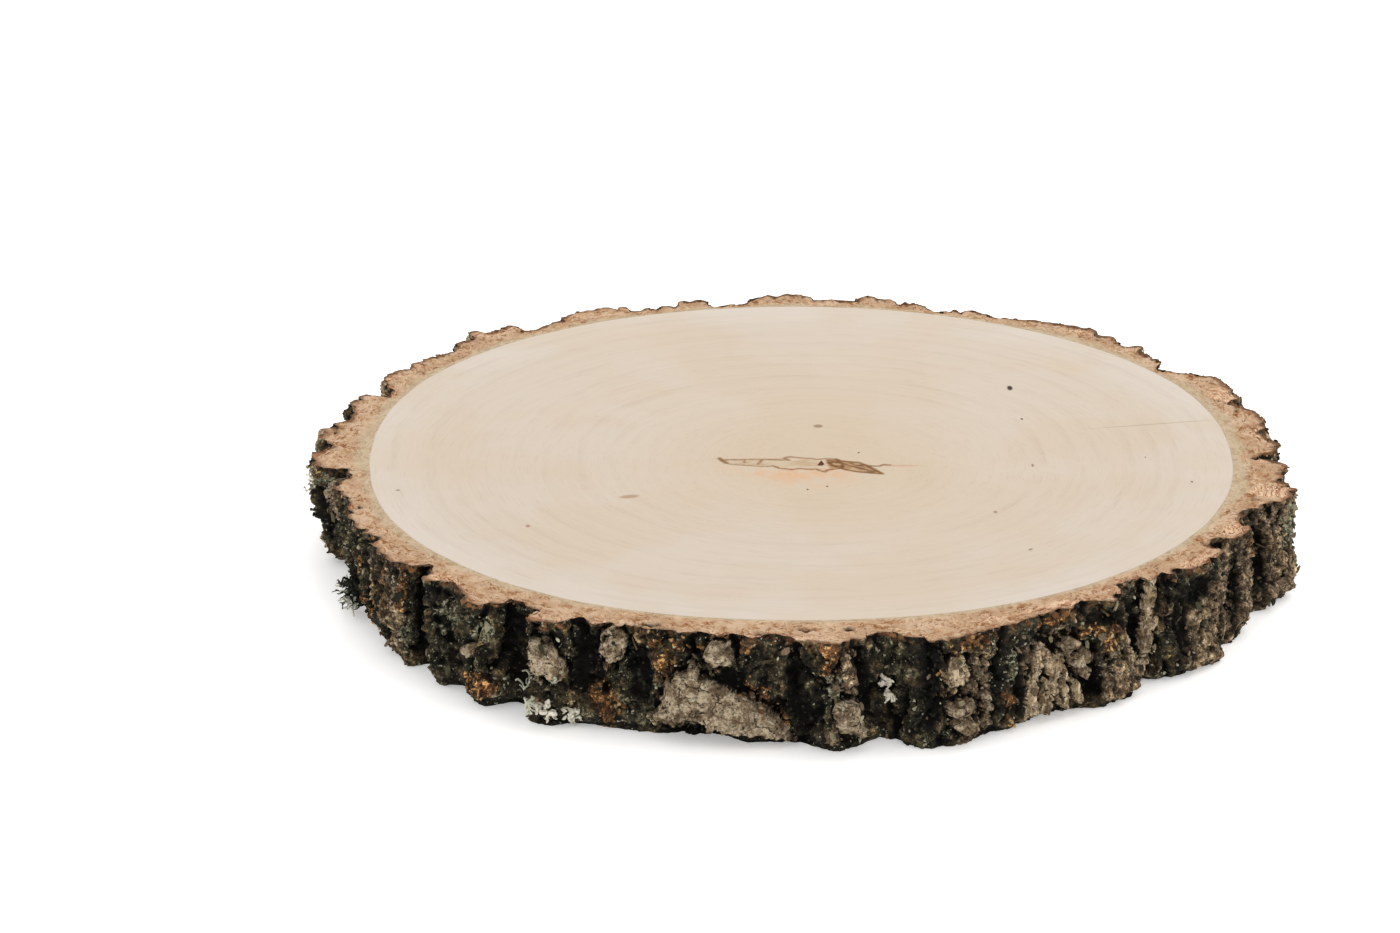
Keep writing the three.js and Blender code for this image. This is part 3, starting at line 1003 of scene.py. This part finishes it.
# The wood's rings of points, outwards: the share where a stretch ends, points in a ring, and rings.
WOOD_RINGS = [(0.1, 360, 22), (0.26, 720, 36), (0.96, 720, 22), (1.0, 1440, 3)]
LOWER_RINGS = [(0.1, 180, 8), (0.5, 360, 12), (0.96, 720, 10), (1.0, 1440, 2)]
BAND_ROWS = 30  # rings of points across the bark
LOWER_BAND_ROWS = 12
SLOT_DEPTH = 2.6
HIGHEST_TEAR = 0.12
MAP_REACH = 150.0  # half the width of the sawn face's texture


def ring_of(count, share, rim):
    """A ring of points that is the wood's edge drawn in to a share of its distance from the pith."""
    edge = rim[:: COLUMNS // count]
    return PITH + (edge - PITH) * share


def face_rings(wood_edge, bark_edge, wood_rings, band_rows):
    """The sawn face's rings from the pith outwards: points, growth and share of the bark's width."""
    rings, last = [], PITH_RADIUS / MEAN_WOOD_RADIUS
    for share, count, rows in wood_rings:
        for step in np.linspace(last, share, rows + 1)[1 if rings else 0 :]:
            rings.append((ring_of(count, step, wood_edge), step, 0.0))
        last = share
    for step in np.linspace(0, 1, band_rows + 1)[1:]:
        rings.append((wood_edge + (bark_edge - wood_edge) * step, 1.0, step))
    return rings


def ring_faces(rings, start):
    """Quads between rings of one count, and triangles where the count doubles."""
    faces = []
    first = start
    for (inner, _, _), (outer, _, _) in zip(rings, rings[1:]):
        count, more = len(inner), len(outer)
        second = first + count
        i = np.arange(count)
        j = (i + 1) % count
        if more == count:
            faces += np.stack([first + i, second + i, second + j, first + j], 1).tolist()
        else:
            middle, end = second + 2 * i + 1, second + (2 * i + 2) % more
            faces += np.stack([first + i, second + 2 * i, middle], 1).tolist()
            faces += np.stack([first + i, middle, first + j], 1).tolist()
            faces += np.stack([first + j, middle, end], 1).tolist()
        first = second
    return faces


# The brown mark about the pith, in the part's own frame: half width and points of each line.
PITH_LINES = [
    (0.75, [(-21.4, -3.4), (-20.8, -5.0), (-19.6, -7.0)]),
    (0.35, [(-21.0, -4.4), (-17.0, -4.6), (-13.0, -4.2), (-9.0, -4.0), (-5.0, -4.6), (-1.6, -4.8)]),
    (0.5, [(-1.6, -4.8), (-2.8, -3.4), (-2.0, -2.4), (-0.6, -2.3)]),
    (0.4, [(-0.6, -2.3), (2.0, -3.0), (5.0, -3.4), (6.5, -4.2), (9.0, -3.6), (12.0, -4.0)]),
    (0.35, [(-19.6, -7.0), (-18.2, -8.2), (-13.0, -9.2), (-9.5, -9.9), (-6.2, -9.6)]),
    (0.25, [(-14.4, -4.2), (-14.3, -6.6)]),
    (0.35, [(-9.2, -4.4), (-10.3, -8.0)]),
    (0.5, [(-6.2, -9.2), (-4.2, -11.4), (-1.0, -12.4), (1.6, -11.6), (4.0, -12.2), (6.2, -12.0), (7.2, -13.2),
           (8.6, -14.2), (9.6, -12.6), (12.6, -11.6)]),
    (0.6, [
        (12.0, -4.0), (13.6, -5.6), (16.0, -6.2), (18.6, -6.8), (20.4, -8.8), (22.4, -12.0), (25.0, -15.8),
    ]),
    (0.6, [
        (9.8, -6.4), (10.8, -9.0), (12.8, -10.8), (15.0, -12.8), (18.0, -14.2), (21.6, -15.0), (25.0, -15.8),
    ]),
    (0.6, [(12.0, -4.4), (14.0, -8.0), (13.4, -11.0)]),
    (0.5, [(9.6, -5.0), (13.4, -7.2), (16.6, -9.8), (19.4, -11.6), (22.6, -14.4)]),
    (0.4, [(15.4, -6.6), (17.4, -8.8), (20.6, -9.4)]),
    (0.45, [(19.6, -8.4), (22.4, -9.6), (24.2, -9.8), (25.4, -8.4), (27.4, -8.6)]),
]
PITH_STAIN = [
    (9.0, -4.0), (13.0, -4.4), (18.0, -7.0), (22.0, -9.0), (23.5, -12.0), (25.2, -16.2),
    (20.0, -14.8), (15.0, -13.2), (12.5, -11.6), (10.0, -11.8), (9.4, -8.0),
]
PITH_LOOP = [
    (-21.4, -3.8), (-9.0, -4.0), (-2.0, -2.6), (9.0, -3.8), (13.0, -6.0),
    (12.6, -11.6), (8.6, -13.8), (-1.0, -12.2), (-6.0, -9.8), (-20.2, -7.6),
]
PITH_DOT = [(7.8, -4.9), (8.6, -8.0), (8.0, -9.3), (6.5, -9.1), (6.9, -7.6)]
# Faint tints below the pith: middle, half sizes, turn and strength.
PITH_TINTS = [
    ((-10.0, -14.6), (12.0, 3.6), -10, 0.4),
    ((2.0, -18.6), (12.0, 6.4), -8, 0.5),
    ((9.0, -15.0), (6.0, 3.6), 12, 0.45),
]
# Other marks on the wood: middle, half sizes, turn, strength and colour.
WOOD_MARKS = [
    ((30.0, -9.2), (6.0, 0.7), 0, 0.35, (176, 116, 76)),
    ((-6.0, -7.0), (17.0, 3.4), -6, 0.25, (180, 158, 128)),
    ((-47.0, -33.6), (2.7, 1.3), 15, 0.6, (150, 108, 72)),
    ((7.5, 23.0), (1.3, 1.3), 0, 0.65, (110, 76, 48)),
    ((65.4, 55.4), (0.8, 1.9), 0, 0.95, (46, 30, 20)),
    ((67.4, 29.0), (0.35, 0.8), 0, 0.8, (60, 42, 30)),
    ((68.2, -9.0), (0.4, 1.2), 0, 0.6, (100, 70, 46)),
    ((112.6, -22.0), (0.3, 0.6), 0, 0.85, (50, 36, 26)),
    ((101.0, -2.4), (0.2, 0.4), 0, 0.8, (50, 36, 26)),
    ((55.5, -45.4), (0.5, 0.9), 0, 0.6, (110, 76, 50)),
    ((63.6, -73.4), (0.5, 0.9), -30, 0.6, (110, 84, 60)),
    ((-74.8, -56.0), (0.6, 1.0), 0, 0.6, (140, 84, 56)),
    ((-112.4, -28.6), (0.6, 0.6), 0, 0.6, (96, 76, 56)),
    ((9.0, -25.6), (0.3, 0.5), 0, 0.9, (50, 32, 20)), ((3.4, -28.0), (0.3, 0.5), 0, 0.9, (50, 32, 20)),
    ((18.7, 1.2), (0.3, 0.5), 0, 0.9, (50, 32, 20)),
    ((105.5, 24.6), (19.0, 0.28), 11.5, 0.38, (120, 98, 74)),
]
# Splits between the bark's layers on the sawn face: angle, radius, half length along the rim,
# half width, lean.
SLOTS = [
    (357.7, 136.5, 1.2, 6.0, 0), (343.5, 134.0, 1.6, 1.2, 30), (337.0, 137.0, 1.6, 4.4, 20),
    (328.3, 136.0, 1.4, 4.0, 30), (323.6, 141.0, 2.5, 0.8, 0), (311.2, 133.0, 3.4, 1.1, 30),
    (252.1, 135.4, 2.8, 1.2, 10), (264.9, 135.3, 2.0, 0.9, 0), (266.6, 136.0, 1.6, 0.8, 0),
    (270.0, 132.7, 2.0, 0.9, 0), (275.0, 132.5, 1.8, 1.1, 0), (187.5, 131.5, 0.8, 4.0, 10),
    (209.9, 136.8, 0.8, 2.5, 30), (199.7, 131.1, 0.7, 0.6, 0), (17.9, 134.0, 2.6, 0.9, 15),
    (254.4, 137.6, 2.4, 0.9, 0), (262.0, 137.0, 2.4, 0.8, 0),
]
# Stacks of thin orange layers in the sawn bark, laid out the same way.
LAYERED = [
    (346.4, 137.0, 4.2, 5.5, 10), (333.0, 136.0, 4.0, 4.6, 10), (309.4, 137.0, 3.6, 3.4, 0),
    (20.0, 136.0, 6.0, 4.0, 0), (264.0, 138.0, 16.0, 2.8, 0), (247.0, 138.4, 6.0, 1.4, 0),
    (6.0, 136.0, 6.0, 3.0, 0), (322.0, 137.0, 7.0, 3.0, 0),
    (300.0, 134.0, 8.0, 1.6, 0), (225.0, 137.0, 5.0, 1.6, 0), (292.0, 134.6, 4.0, 1.2, 0),
]
for angle, _, width, _, lean in scattered(7, 16, *BACK, 5.0, 2.0):
    LAYERED.append((angle, 137.0, width, 2.0, lean))
for angle, _, width, _, lean in scattered(8, 12, *BACK, 2.0, 2.0):
    SLOTS.append((angle, 135.0, width, 0.6, lean))


def pith_fields(points):
    """How far inside the pith mark's lines, stain and dot each point lies, in millimetres."""
    near = np.hypot(*(points - PITH).T) < PITH_REACH
    names = ("pith_line", "pith_stain", "pith_loop", "pith_dot")
    fields = {name: np.full(len(points), NO_PATCH) for name in names}
    close = points[near]
    line = np.full(len(close), NO_PATCH)
    for half_width, path in PITH_LINES:
        for a, b in zip(np.array(path), np.array(path)[1:]):
            line = np.maximum(line, half_width - segment_distance(close, a, b))
    fields["pith_line"][near] = line
    fields["pith_stain"][near] = polygon_depth(np.array(PITH_STAIN), close)
    fields["pith_loop"][near] = polygon_depth(np.array(PITH_LOOP), close)
    fields["pith_dot"][near] = polygon_depth(np.array(PITH_DOT), close)
    return fields


def face_quads(rings, side):
    """The sawn face's triangles and quads, facing up for side 1 and down for side -1."""
    count = len(rings[0][0])
    i = np.arange(count)
    faces = np.stack([np.zeros(count, int), 1 + i, 1 + (i + 1) % count], 1).tolist() + ring_faces(rings, 1)
    return [face[::-1] for face in faces] if side < 0 else faces


def torn_levels(points, side, share, slot, layered):
    """How high the face's points lie where the sawn bark is torn and where slots go into it."""
    tear = 0.6 * rough(points, 1.7, 3, seed=22) + 0.5 * rough(points, 5, 2, seed=23) - 0.3
    comb = 0.5 * np.abs(rough(points, 1.5, 2, seed=24, stretch=(2.2, 0.8, 1)))
    tear = np.minimum(tear - comb * smooth(-0.3, 0.6, layered), HIGHEST_TEAR)
    tear = tear * smooth(0.08, 0.3, share) * (1 - smooth(0.97, 1.0, share))
    hole = SLOT_DEPTH * smooth(-0.3, 0.7, slot) * smooth(0.02, 0.2, share) * (1 - smooth(0.96, 1.0, share))
    return np.maximum(points[:, 2] + side * (tear - hole), 0)


def build_face(name, bark_edge, material, side, wood_rings, band_rows):
    """A sawn face out to the bark's edge: the upper one for side 1, the one it lies on for side -1."""
    wood_edge = around(COLUMN_ANGLES, round_curve(WOOD_RADII, COLUMN_ANGLES), 0.0)[:, :2]
    rings = face_rings(wood_edge, bark_edge[:, :2], wood_rings, band_rows)
    flat = np.vstack([PITH] + [ring for ring, _, _ in rings])
    growth = np.append(0, np.concatenate([np.full(len(ring), g) for ring, g, _ in rings]))
    share = np.append(0, np.concatenate([np.full(len(ring), s) for ring, _, s in rings]))
    level = THICKNESS if side > 0 else 0.0
    points = np.column_stack([flat, np.full(len(flat), level)])
    faces = face_quads(rings, side)
    angles, radii = polar(points)
    ragged = 0.7 * rough(points, 2.4, 3, seed=21)
    slot = patch_field(SLOTS, angles, radii) + ragged
    layered = patch_field(LAYERED, angles, radii) + ragged * 2
    points[:, 2] = torn_levels(points, side, share, slot, layered)
    cambium = share / round_curve(CAMBIUM_SHARES, angles)
    fields = {"growth": growth, "bark_share": share, "cambium": cambium, "slot": slot, "layered": layered}
    fields.update(pith_fields(flat))
    layout = flat / (2 * MAP_REACH) + 0.5
    uv = np.concatenate([layout[face] for face in faces])
    return new_piece(name, points, faces, material, fields, uv)


# ---------------------------------------------------------------- crumbs and flakes of bark

CRUMBS = 6000
FLAKES = 700
# Colours by tone: crust, pale lichen, grey cork, and rusty inner bark.
FRAGMENT_TONES = [
    (0.0, (20, 20, 16)), (0.2, (56, 54, 40)), (0.34, (98, 92, 66)),
    (0.4, (198, 196, 168)), (0.46, (152, 142, 114)),
    (0.5, (84, 69, 51)), (0.62, (142, 122, 97)),
    (0.7, (64, 44, 28)), (0.85, (124, 88, 54)), (1.0, (214, 174, 120)),
]
LARGEST_CRUMB = 0.55  # half width
LARGEST_FLAKE = 0.95
FLAKE_HALF_THICKNESS = 0.12
CRUMB_SEED, FLAKE_SEED, LICHEN_SEED, MOSS_SEED = 31, 37, 41, 53


def wall_spots(points, normals, fields, weights, count, dice):
    """Random places on the bark: point, normal, and the value of each field there."""
    picked = dice.choice(len(points), count, p=weights / weights.sum())
    return points[picked], normals[picked], {name: values[picked] for name, values in fields.items()}


def local_frames(normals):
    """For each normal: a level direction along the bark, and one up it."""
    level = np.cross([0, 0, 1], normals)
    level /= np.maximum(np.linalg.norm(level, axis=1, keepdims=True), 1e-6)
    return level, np.cross(normals, level)


def lump_shape():
    """The corners and faces of a rough ball with twenty sides."""
    high = np.arange(5) * 2 * math.pi / 5
    low = high + math.pi / 5
    tall, wide = 1 / math.sqrt(5), 2 / math.sqrt(5)
    upper = np.stack([wide * np.cos(high), wide * np.sin(high), np.full(5, tall)], 1)
    lower = np.stack([wide * np.cos(low), wide * np.sin(low), np.full(5, -tall)], 1)
    corners = np.vstack([[0, 0, 1], upper, lower, [0, 0, -1]])
    faces = []
    for i in range(5):
        j = (i + 1) % 5
        faces += [(0, 1 + i, 1 + j), (1 + i, 6 + i, 1 + j), (1 + j, 6 + i, 6 + j), (11, 6 + j, 6 + i)]
    return corners, np.array(faces)


def flake_shape(corners=6):
    """A plate's corners and faces: about 1 in half width, with its two sides at heights 1 and -1."""
    turn = np.arange(corners) * 2 * math.pi / corners
    ring = np.stack([np.cos(turn), np.sin(turn)], 1)
    upper = np.column_stack([ring, np.ones(corners)])
    lower = np.column_stack([ring, -np.ones(corners)])
    points = np.vstack([[0, 0, 1], upper, lower, [0, 0, -1]])
    faces = []
    for i in range(corners):
        j = (i + 1) % corners
        a, b, c, d = 1 + i, 1 + j, 1 + corners + i, 1 + corners + j
        faces += [(0, a, b), (a, c, b), (b, c, d), (2 * corners + 1, d, c)]
    return points, np.array(faces)


def scatter_shapes(name, shape, places, axes, sizes, jitter, tones, material, dice, curl=0.0, rounded=True):
    """One mesh of many copies of a shape, each bent out of true, at these places and along these axes."""
    corners, faces = shape
    count = len(places)
    local = corners[None] * (1 + dice.uniform(-jitter, jitter, (count, len(corners), 1)))
    bend = curl * dice.uniform(-1, 1, (count, 1)) * (local[:, :, 0] ** 2)
    local = local * sizes[:, None, :]
    local[:, :, 2] += bend * sizes[:, None, 0]
    points = places[:, None, :] + sum(local[:, :, k : k + 1] * axes[k][:, None, :] for k in range(3))
    points[:, :, 2] = np.clip(points[:, :, 2], 0.05, THICKNESS - 0.05)
    all_faces = (faces[None] + np.arange(count)[:, None, None] * len(corners)).reshape(-1, 3)
    tone = np.repeat(tones, len(corners))
    grid = math.ceil(math.sqrt(count))
    cell = np.stack([np.arange(count) % grid, np.arange(count) // grid], 1)[:, None, :]
    layout = (cell + 0.5 + corners[None, :, :2] * 0.36) / grid
    uv = layout.reshape(-1, 2)[all_faces.ravel()]
    return new_piece(name, points.reshape(-1, 3), all_faces.tolist(), material, {"tone": tone}, uv, rounded)


def turned(first, second, angle):
    """Two directions turned by an angle about the third that is square to both."""
    c, s = np.cos(angle)[:, None], np.sin(angle)[:, None]
    return first * c + second * s, second * c - first * s


def crumb_tones(fields, dice):
    """A tone for each crumb that suits where it lies."""
    count = len(fields["rust"])
    tone = dice.uniform(0.02, 0.33, count)
    tone = np.where(dice.random(count) < 0.13, dice.uniform(0.38, 0.46, count), tone)
    tone = np.where((fields["cork"] > 0) & (dice.random(count) < 0.7), dice.uniform(0.46, 0.64, count), tone)
    # crumbs in the hollows take the darkest tones, as painted shade
    tone = np.where(fields["hollow"] > 0.3, dice.uniform(0.0, 0.2, count), tone)
    rusty = (fields["rust"] > -0.5) & (dice.random(count) < 0.55)
    tone = np.where(rusty, dice.uniform(0.68, 1.0, count), tone)
    tone = np.where((fields["rim"] > -0.5) & (tone > 0.37) & (tone < 0.47), 0.3, tone)
    return np.where((fields["rim"] > 0) & (dice.random(count) < 0.2), dice.uniform(0.55, 0.9, count), tone)


def add_crumbs(points, normals, fields, material):
    dice = np.random.default_rng(CRUMB_SEED)
    weights = 1.0 - 0.93 * smooth(-0.2, 0.4, np.maximum(fields["paper"], fields["scale"]))
    weights = weights * (1 + 1.2 * smooth(-0.3, 0.3, fields["rust"]))
    places, outward, here = wall_spots(points, normals, fields, weights, CRUMBS, dice)
    level, up = local_frames(outward)
    level, up = turned(level, up, dice.uniform(0, 2 * math.pi, CRUMBS))
    size = np.minimum(0.32 * np.exp(dice.normal(0, 0.36, CRUMBS)), LARGEST_CRUMB)
    sizes = size[:, None] * dice.uniform([0.7, 1.0, 0.5], [1.3, 2.0, 1.0], (CRUMBS, 3))
    tones = crumb_tones(here, dice)
    centres = places + outward * (size * 0.35)[:, None]
    axes = (level, up, outward)
    piece = scatter_shapes("bark_crumbs", lump_shape(), centres, axes, sizes, 0.25, tones, material, dice)
    return finish_piece(piece, "bark", "wood_slice")


def add_flakes(points, normals, fields, material):
    dice = np.random.default_rng(FLAKE_SEED)
    loose = 0.5 + smooth(-1, 1, fields["cork"]) + smooth(-0.5, 0.5, fields["rust"])
    weights = smooth(-3, 0, -fields["paper"]) * loose
    places, outward, here = wall_spots(points, normals, fields, weights, FLAKES, dice)
    level, up = local_frames(outward)
    level, up = turned(level, up, dice.normal(0, 0.5, FLAKES))
    level, outward = turned(level, outward, dice.normal(0, 0.25, FLAKES))
    up, outward = turned(up, outward, dice.normal(0, 0.2, FLAKES))
    size = np.minimum(0.55 * np.exp(dice.normal(0, 0.35, FLAKES)), LARGEST_FLAKE)
    sizes = np.stack([size, size * dice.uniform(1.0, 2.4, FLAKES), np.full(FLAKES, FLAKE_HALF_THICKNESS)], 1)
    tones = np.where(here["rust"] > -0.5, dice.uniform(0.66, 0.9, FLAKES), dice.uniform(0.44, 0.6, FLAKES))
    tones = np.where(dice.random(FLAKES) < 0.45, dice.uniform(0.05, 0.3, FLAKES), tones)
    centres = places + outward * 0.35
    axes = (level, up, outward)
    piece = scatter_shapes(
        "bark_flakes", flake_shape(), centres, axes, sizes, 0.4, tones, material, dice, 0.3, False
    )
    return finish_piece(piece, "bark", "wood_slice")


# ---------------------------------------------------------------- lichens and moss

LICHEN_TONES = [(0.0, (68, 71, 54)), (0.5, (150, 153, 130)), (0.8, (206, 204, 184)), (1.0, (240, 231, 214))]
MOSS_TONES = [(0.0, (20, 22, 14)), (0.35, (50, 52, 36)), (0.7, (150, 150, 130)), (1.0, (226, 224, 210))]

# Each clump of strands: angle, height, spread across and up, strands, length, half width, forks,
# curl, reach, tone.
CLUMPS = {
    "lichen_tuft_left": [
        (183.0, 26.2, 1.8, 1.4, 6, 4.4, 0.55, 1, 0.8, 0.35, 0.97),
        (182.4, 22.4, 1.6, 2.4, 7, 4.8, 0.5, 1, 0.8, 0.4, 0.9),
        (183.2, 24.6, 1.8, 3.0, 5, 2.6, 0.4, 0, 0.6, 0.3, 0.5),
    ],
    "lichen_rosette_left": [
        (239.8, 13.0, 1.2, 0.8, 5, 7.0, 0.46, 0, 0.9, 0.9, 0.68),
        (240.5, 9.4, 1.2, 1.6, 7, 7.0, 0.5, 0, 0.8, 0.9, 0.74),
        (241.6, 6.6, 2.6, 2.2, 14, 3.0, 0.85, 1, 0.5, 0.7, 0.99),
        (244.2, 4.4, 2.2, 1.4, 9, 2.8, 0.7, 1, 0.5, 0.6, 0.88),
        (242.6, 15.6, 0.8, 0.8, 3, 2.4, 0.45, 0, 0.8, 0.4, 0.62),
    ],
    "lichen_rosette_front": [
        (278.9, 16.6, 0.5, 0.9, 7, 3.0, 0.8, 1, 0.3, 0.3, 1.0),
        (279.5, 13.0, 0.6, 0.7, 8, 2.8, 0.75, 1, 0.3, 0.3, 0.97),
    ],
    "lichen_tuft_far": [(39.2, 28.4, 1.2, 0.8, 5, 3.2, 0.26, 1, 0.35, 0.7, 0.55)],
}
MOSS_CLUMPS = [
    (202.4, 12.0, 3.2, 3.4, 44, 4.6, 0.46, 2, 0.55, 1.5, 0.1),
    (201.2, 7.0, 2.8, 2.4, 44, 6.4, 0.42, 2, 0.55, 2.2, 0.16),
    (202.0, 9.0, 2.8, 2.6, 60, 3.2, 0.6, 2, 0.5, 1.4, 0.12),
    (200.6, 6.6, 2.0, 1.4, 14, 7.2, 0.6, 1, 0.5, 3.0, 0.99),
]


def grow(dice, start, heading, out, length, width, forks, curl, tone):
    """A curling, forking strand and its branches, each with points, half widths, tone and outward way."""
    steps = 8
    points, widths = [start], [width]
    heading = heading / np.linalg.norm(heading)
    strands = []
    for step in range(1, steps):
        heading = heading + dice.normal(0, 0.22, 3) + 0.1 * out + curl * np.cross(out, heading)
        heading = heading / np.linalg.norm(heading)
        points.append(points[-1] + heading * length / steps)
        widths.append(width * (1 - 0.6 * (step / steps) ** 2))
        if forks and step in (2, 5):
            side = heading + np.cross(heading, out) * dice.choice([-1.0, 1.0]) * dice.uniform(0.6, 1.1)
            strands += grow(dice, points[-1], side, out, length * 0.6, width * 0.75, forks - 1, curl, tone)
    strands.append((np.array(points), np.array(widths), tone + dice.uniform(-0.08, 0.08), out))
    return strands


def ribbon_mesh(name, strands, material, flatness=0.45, sides=6):
    """One mesh of closed, tapering, flattened strands."""
    turn = np.arange(sides) * 2 * math.pi / sides
    corners, faces, tones, first = [], [], [], 0
    for points, widths, tone, out in strands:
        along = np.gradient(points, axis=0)
        along /= np.maximum(np.linalg.norm(along, axis=1, keepdims=True), 1e-6)
        side = np.cross(along, out)
        side /= np.maximum(np.linalg.norm(side, axis=1, keepdims=True), 1e-6)
        flat = np.cross(side, along)
        c, s = np.cos(turn)[None, :, None], np.sin(turn)[None, :, None]
        ring = side[:, None] * c + flat[:, None] * s * flatness
        corners.append((points[:, None] + ring * widths[:, None, None]).reshape(-1, 3))
        count = len(points)
        for i in range(count - 1):
            for k in range(sides):
                a, b = first + i * sides + k, first + i * sides + (k + 1) % sides
                faces.append((a, b, b + sides, a + sides))
        faces.append(tuple(first + k for k in reversed(range(sides))))
        faces.append(tuple(first + (count - 1) * sides + k for k in range(sides)))
        tones.append(np.full(count * sides, tone))
        first += count * sides
    points = np.vstack(corners)
    points[:, 2] = np.maximum(points[:, 2], 0.1)
    return new_piece(name, points, faces, material, {"tone": np.concatenate(tones)})


def clump_strands(dice, points, normals, clump):
    """The strands of one clump, rooted on the bark and reaching away from its middle."""
    angle, height, across, up_down, count, length, width, forks, curl, reach, tone = clump
    strands = []
    for _ in range(count):
        shift = dice.normal(0, 0.5, 2) * (across, up_down)
        column = int(round((angle + math.degrees(shift[0] / MEAN_RADIUS)) / FULL_TURN * COLUMNS)) % COLUMNS
        row = int(np.clip(round((height + shift[1]) / THICKNESS * (WALL_ROWS - 1)), 2, WALL_ROWS - 3))
        spot = row * COLUMNS + column
        out = normals[spot]
        level, up = (axis[0] for axis in local_frames(out[None]))
        bearing = dice.uniform(0, 2 * math.pi)
        heading = out * reach + (level * math.cos(bearing) + up * math.sin(bearing)) * 0.8
        size = dice.uniform(0.7, 1.25)
        start = points[spot] - out * 0.2
        bend = curl * dice.choice([-1.0, 1.0])
        strands += grow(dice, start, heading, out, length * size, width, forks, bend, tone)
    return strands


def add_growths(points, normals):
    lichen = fragment_material("grey_lichen", LICHEN_TONES, 0.85, 0.36)
    moss = fragment_material("dry_moss", MOSS_TONES, 0.9, 0.5)
    for number, (node, clumps) in enumerate(CLUMPS.items()):
        dice = np.random.default_rng(LICHEN_SEED + number)
        strands = [strand for clump in clumps for strand in clump_strands(dice, points, normals, clump)]
        finish_piece(ribbon_mesh(node + "_thallus", strands, lichen), "lichen", node)
    dice = np.random.default_rng(MOSS_SEED)
    strands = [strand for clump in MOSS_CLUMPS for strand in clump_strands(dice, points, normals, clump)]
    finish_piece(ribbon_mesh("moss_sprigs", strands, moss, 0.8), "moss", "moss_tuft_left")

# ---------------------------------------------------------------- the stage

ELEVATION = 21.0
CAMERA_DISTANCE = 1.504
FOCAL_LENGTH = 127.9
SENSOR_WIDTH = 36.0
WORLD_STRENGTH = 0.98
SOFTBOX_AT, SOFTBOX_SIZE, SOFTBOX_POWER = (0.4, 0.6, 1.7), (2.6, 2.2), 20
TABLE_GLOW = 0.28  # lifts the table to white
TABLE_HALF = 4000.0
AIM = Vector(((HUB[0] - 27.9) * MM, (HUB[1] + 62.4) * MM, 2 * MM))


def set_camera():
    data = bpy.data.cameras.new("camera")
    data.lens = FOCAL_LENGTH
    data.sensor_width = SENSOR_WIDTH
    data.clip_end = 100
    camera = bpy.data.objects.new("camera", data)
    bpy.context.scene.collection.objects.link(camera)
    rise = math.radians(ELEVATION)
    camera.location = AIM + CAMERA_DISTANCE * Vector((0, -math.cos(rise), math.sin(rise)))
    camera.rotation_euler = (math.pi / 2 - rise, 0, 0)
    bpy.context.scene.camera = camera


def add_softbox(name, place_at, size, power):
    data = bpy.data.lights.new(name, "AREA")
    data.shape = "RECTANGLE"
    data.size, data.size_y = size
    data.energy = power
    lamp = bpy.data.objects.new(name, data)
    bpy.context.scene.collection.objects.link(lamp)
    lamp.location = place_at
    lamp.rotation_euler = (-Vector(place_at)).to_track_quat("-Z", "Y").to_euler()


def set_lights():
    world = bpy.data.worlds.new("studio")
    world.use_nodes = True
    world.node_tree.nodes["Background"].inputs["Color"].default_value = (1, 1, 1, 1)
    world.node_tree.nodes["Background"].inputs["Strength"].default_value = WORLD_STRENGTH
    bpy.context.scene.world = world
    add_softbox("softbox", SOFTBOX_AT, SOFTBOX_SIZE, SOFTBOX_POWER)


def add_floor():
    material, tree, shader = new_material("white_table")
    tint = blend(tree, grain(tree, place(tree), 120, 2), tone_of(250, 249, 247), tone_of(253, 252, 251))
    tree.links.new(tint, shader.inputs["Base Color"])
    shader.inputs["Roughness"].default_value = 0.8
    shader.inputs["Emission Color"].default_value = (1, 1, 1, 1)
    shader.inputs["Emission Strength"].default_value = TABLE_GLOW
    half = TABLE_HALF
    corners = np.array([[-half, -half, 0], [half, -half, 0], [half, half, 0], [-half, half, 0]])
    floor = new_piece("table", corners, [[0, 1, 2, 3]], material)


# ---------------------------------------------------------------- assembly

set_camera()
set_lights()
add_floor()

bark_points, bark_fields = sculpt_wall()
bark_normals = grid_normals(bark_points)
bark_wall = new_piece("bark_wall", bark_points, wall_quads(), bark_material(), bark_fields, wall_layout())
finish_piece(bark_wall, "bark", "wood_slice")

birch = wood_material()
upper_face = build_face("sawn_face", bark_points[-COLUMNS:], birch, 1, WOOD_RINGS, BAND_ROWS)
finish_piece(upper_face, "sawn_wood", "wood_slice")
lower_face = build_face("underside", bark_points[:COLUMNS], birch, -1, LOWER_RINGS, LOWER_BAND_ROWS)
finish_piece(lower_face, "sawn_wood", "wood_slice")

fragments = fragment_material("bark_fragments", FRAGMENT_TONES, 0.85, 0.45)
add_crumbs(bark_points, bark_normals, bark_fields, fragments)
add_flakes(bark_points, bark_normals, bark_fields, fragments)
add_growths(bark_points, bark_normals)

scene = bpy.context.scene
scene.view_settings.view_transform = "Standard"
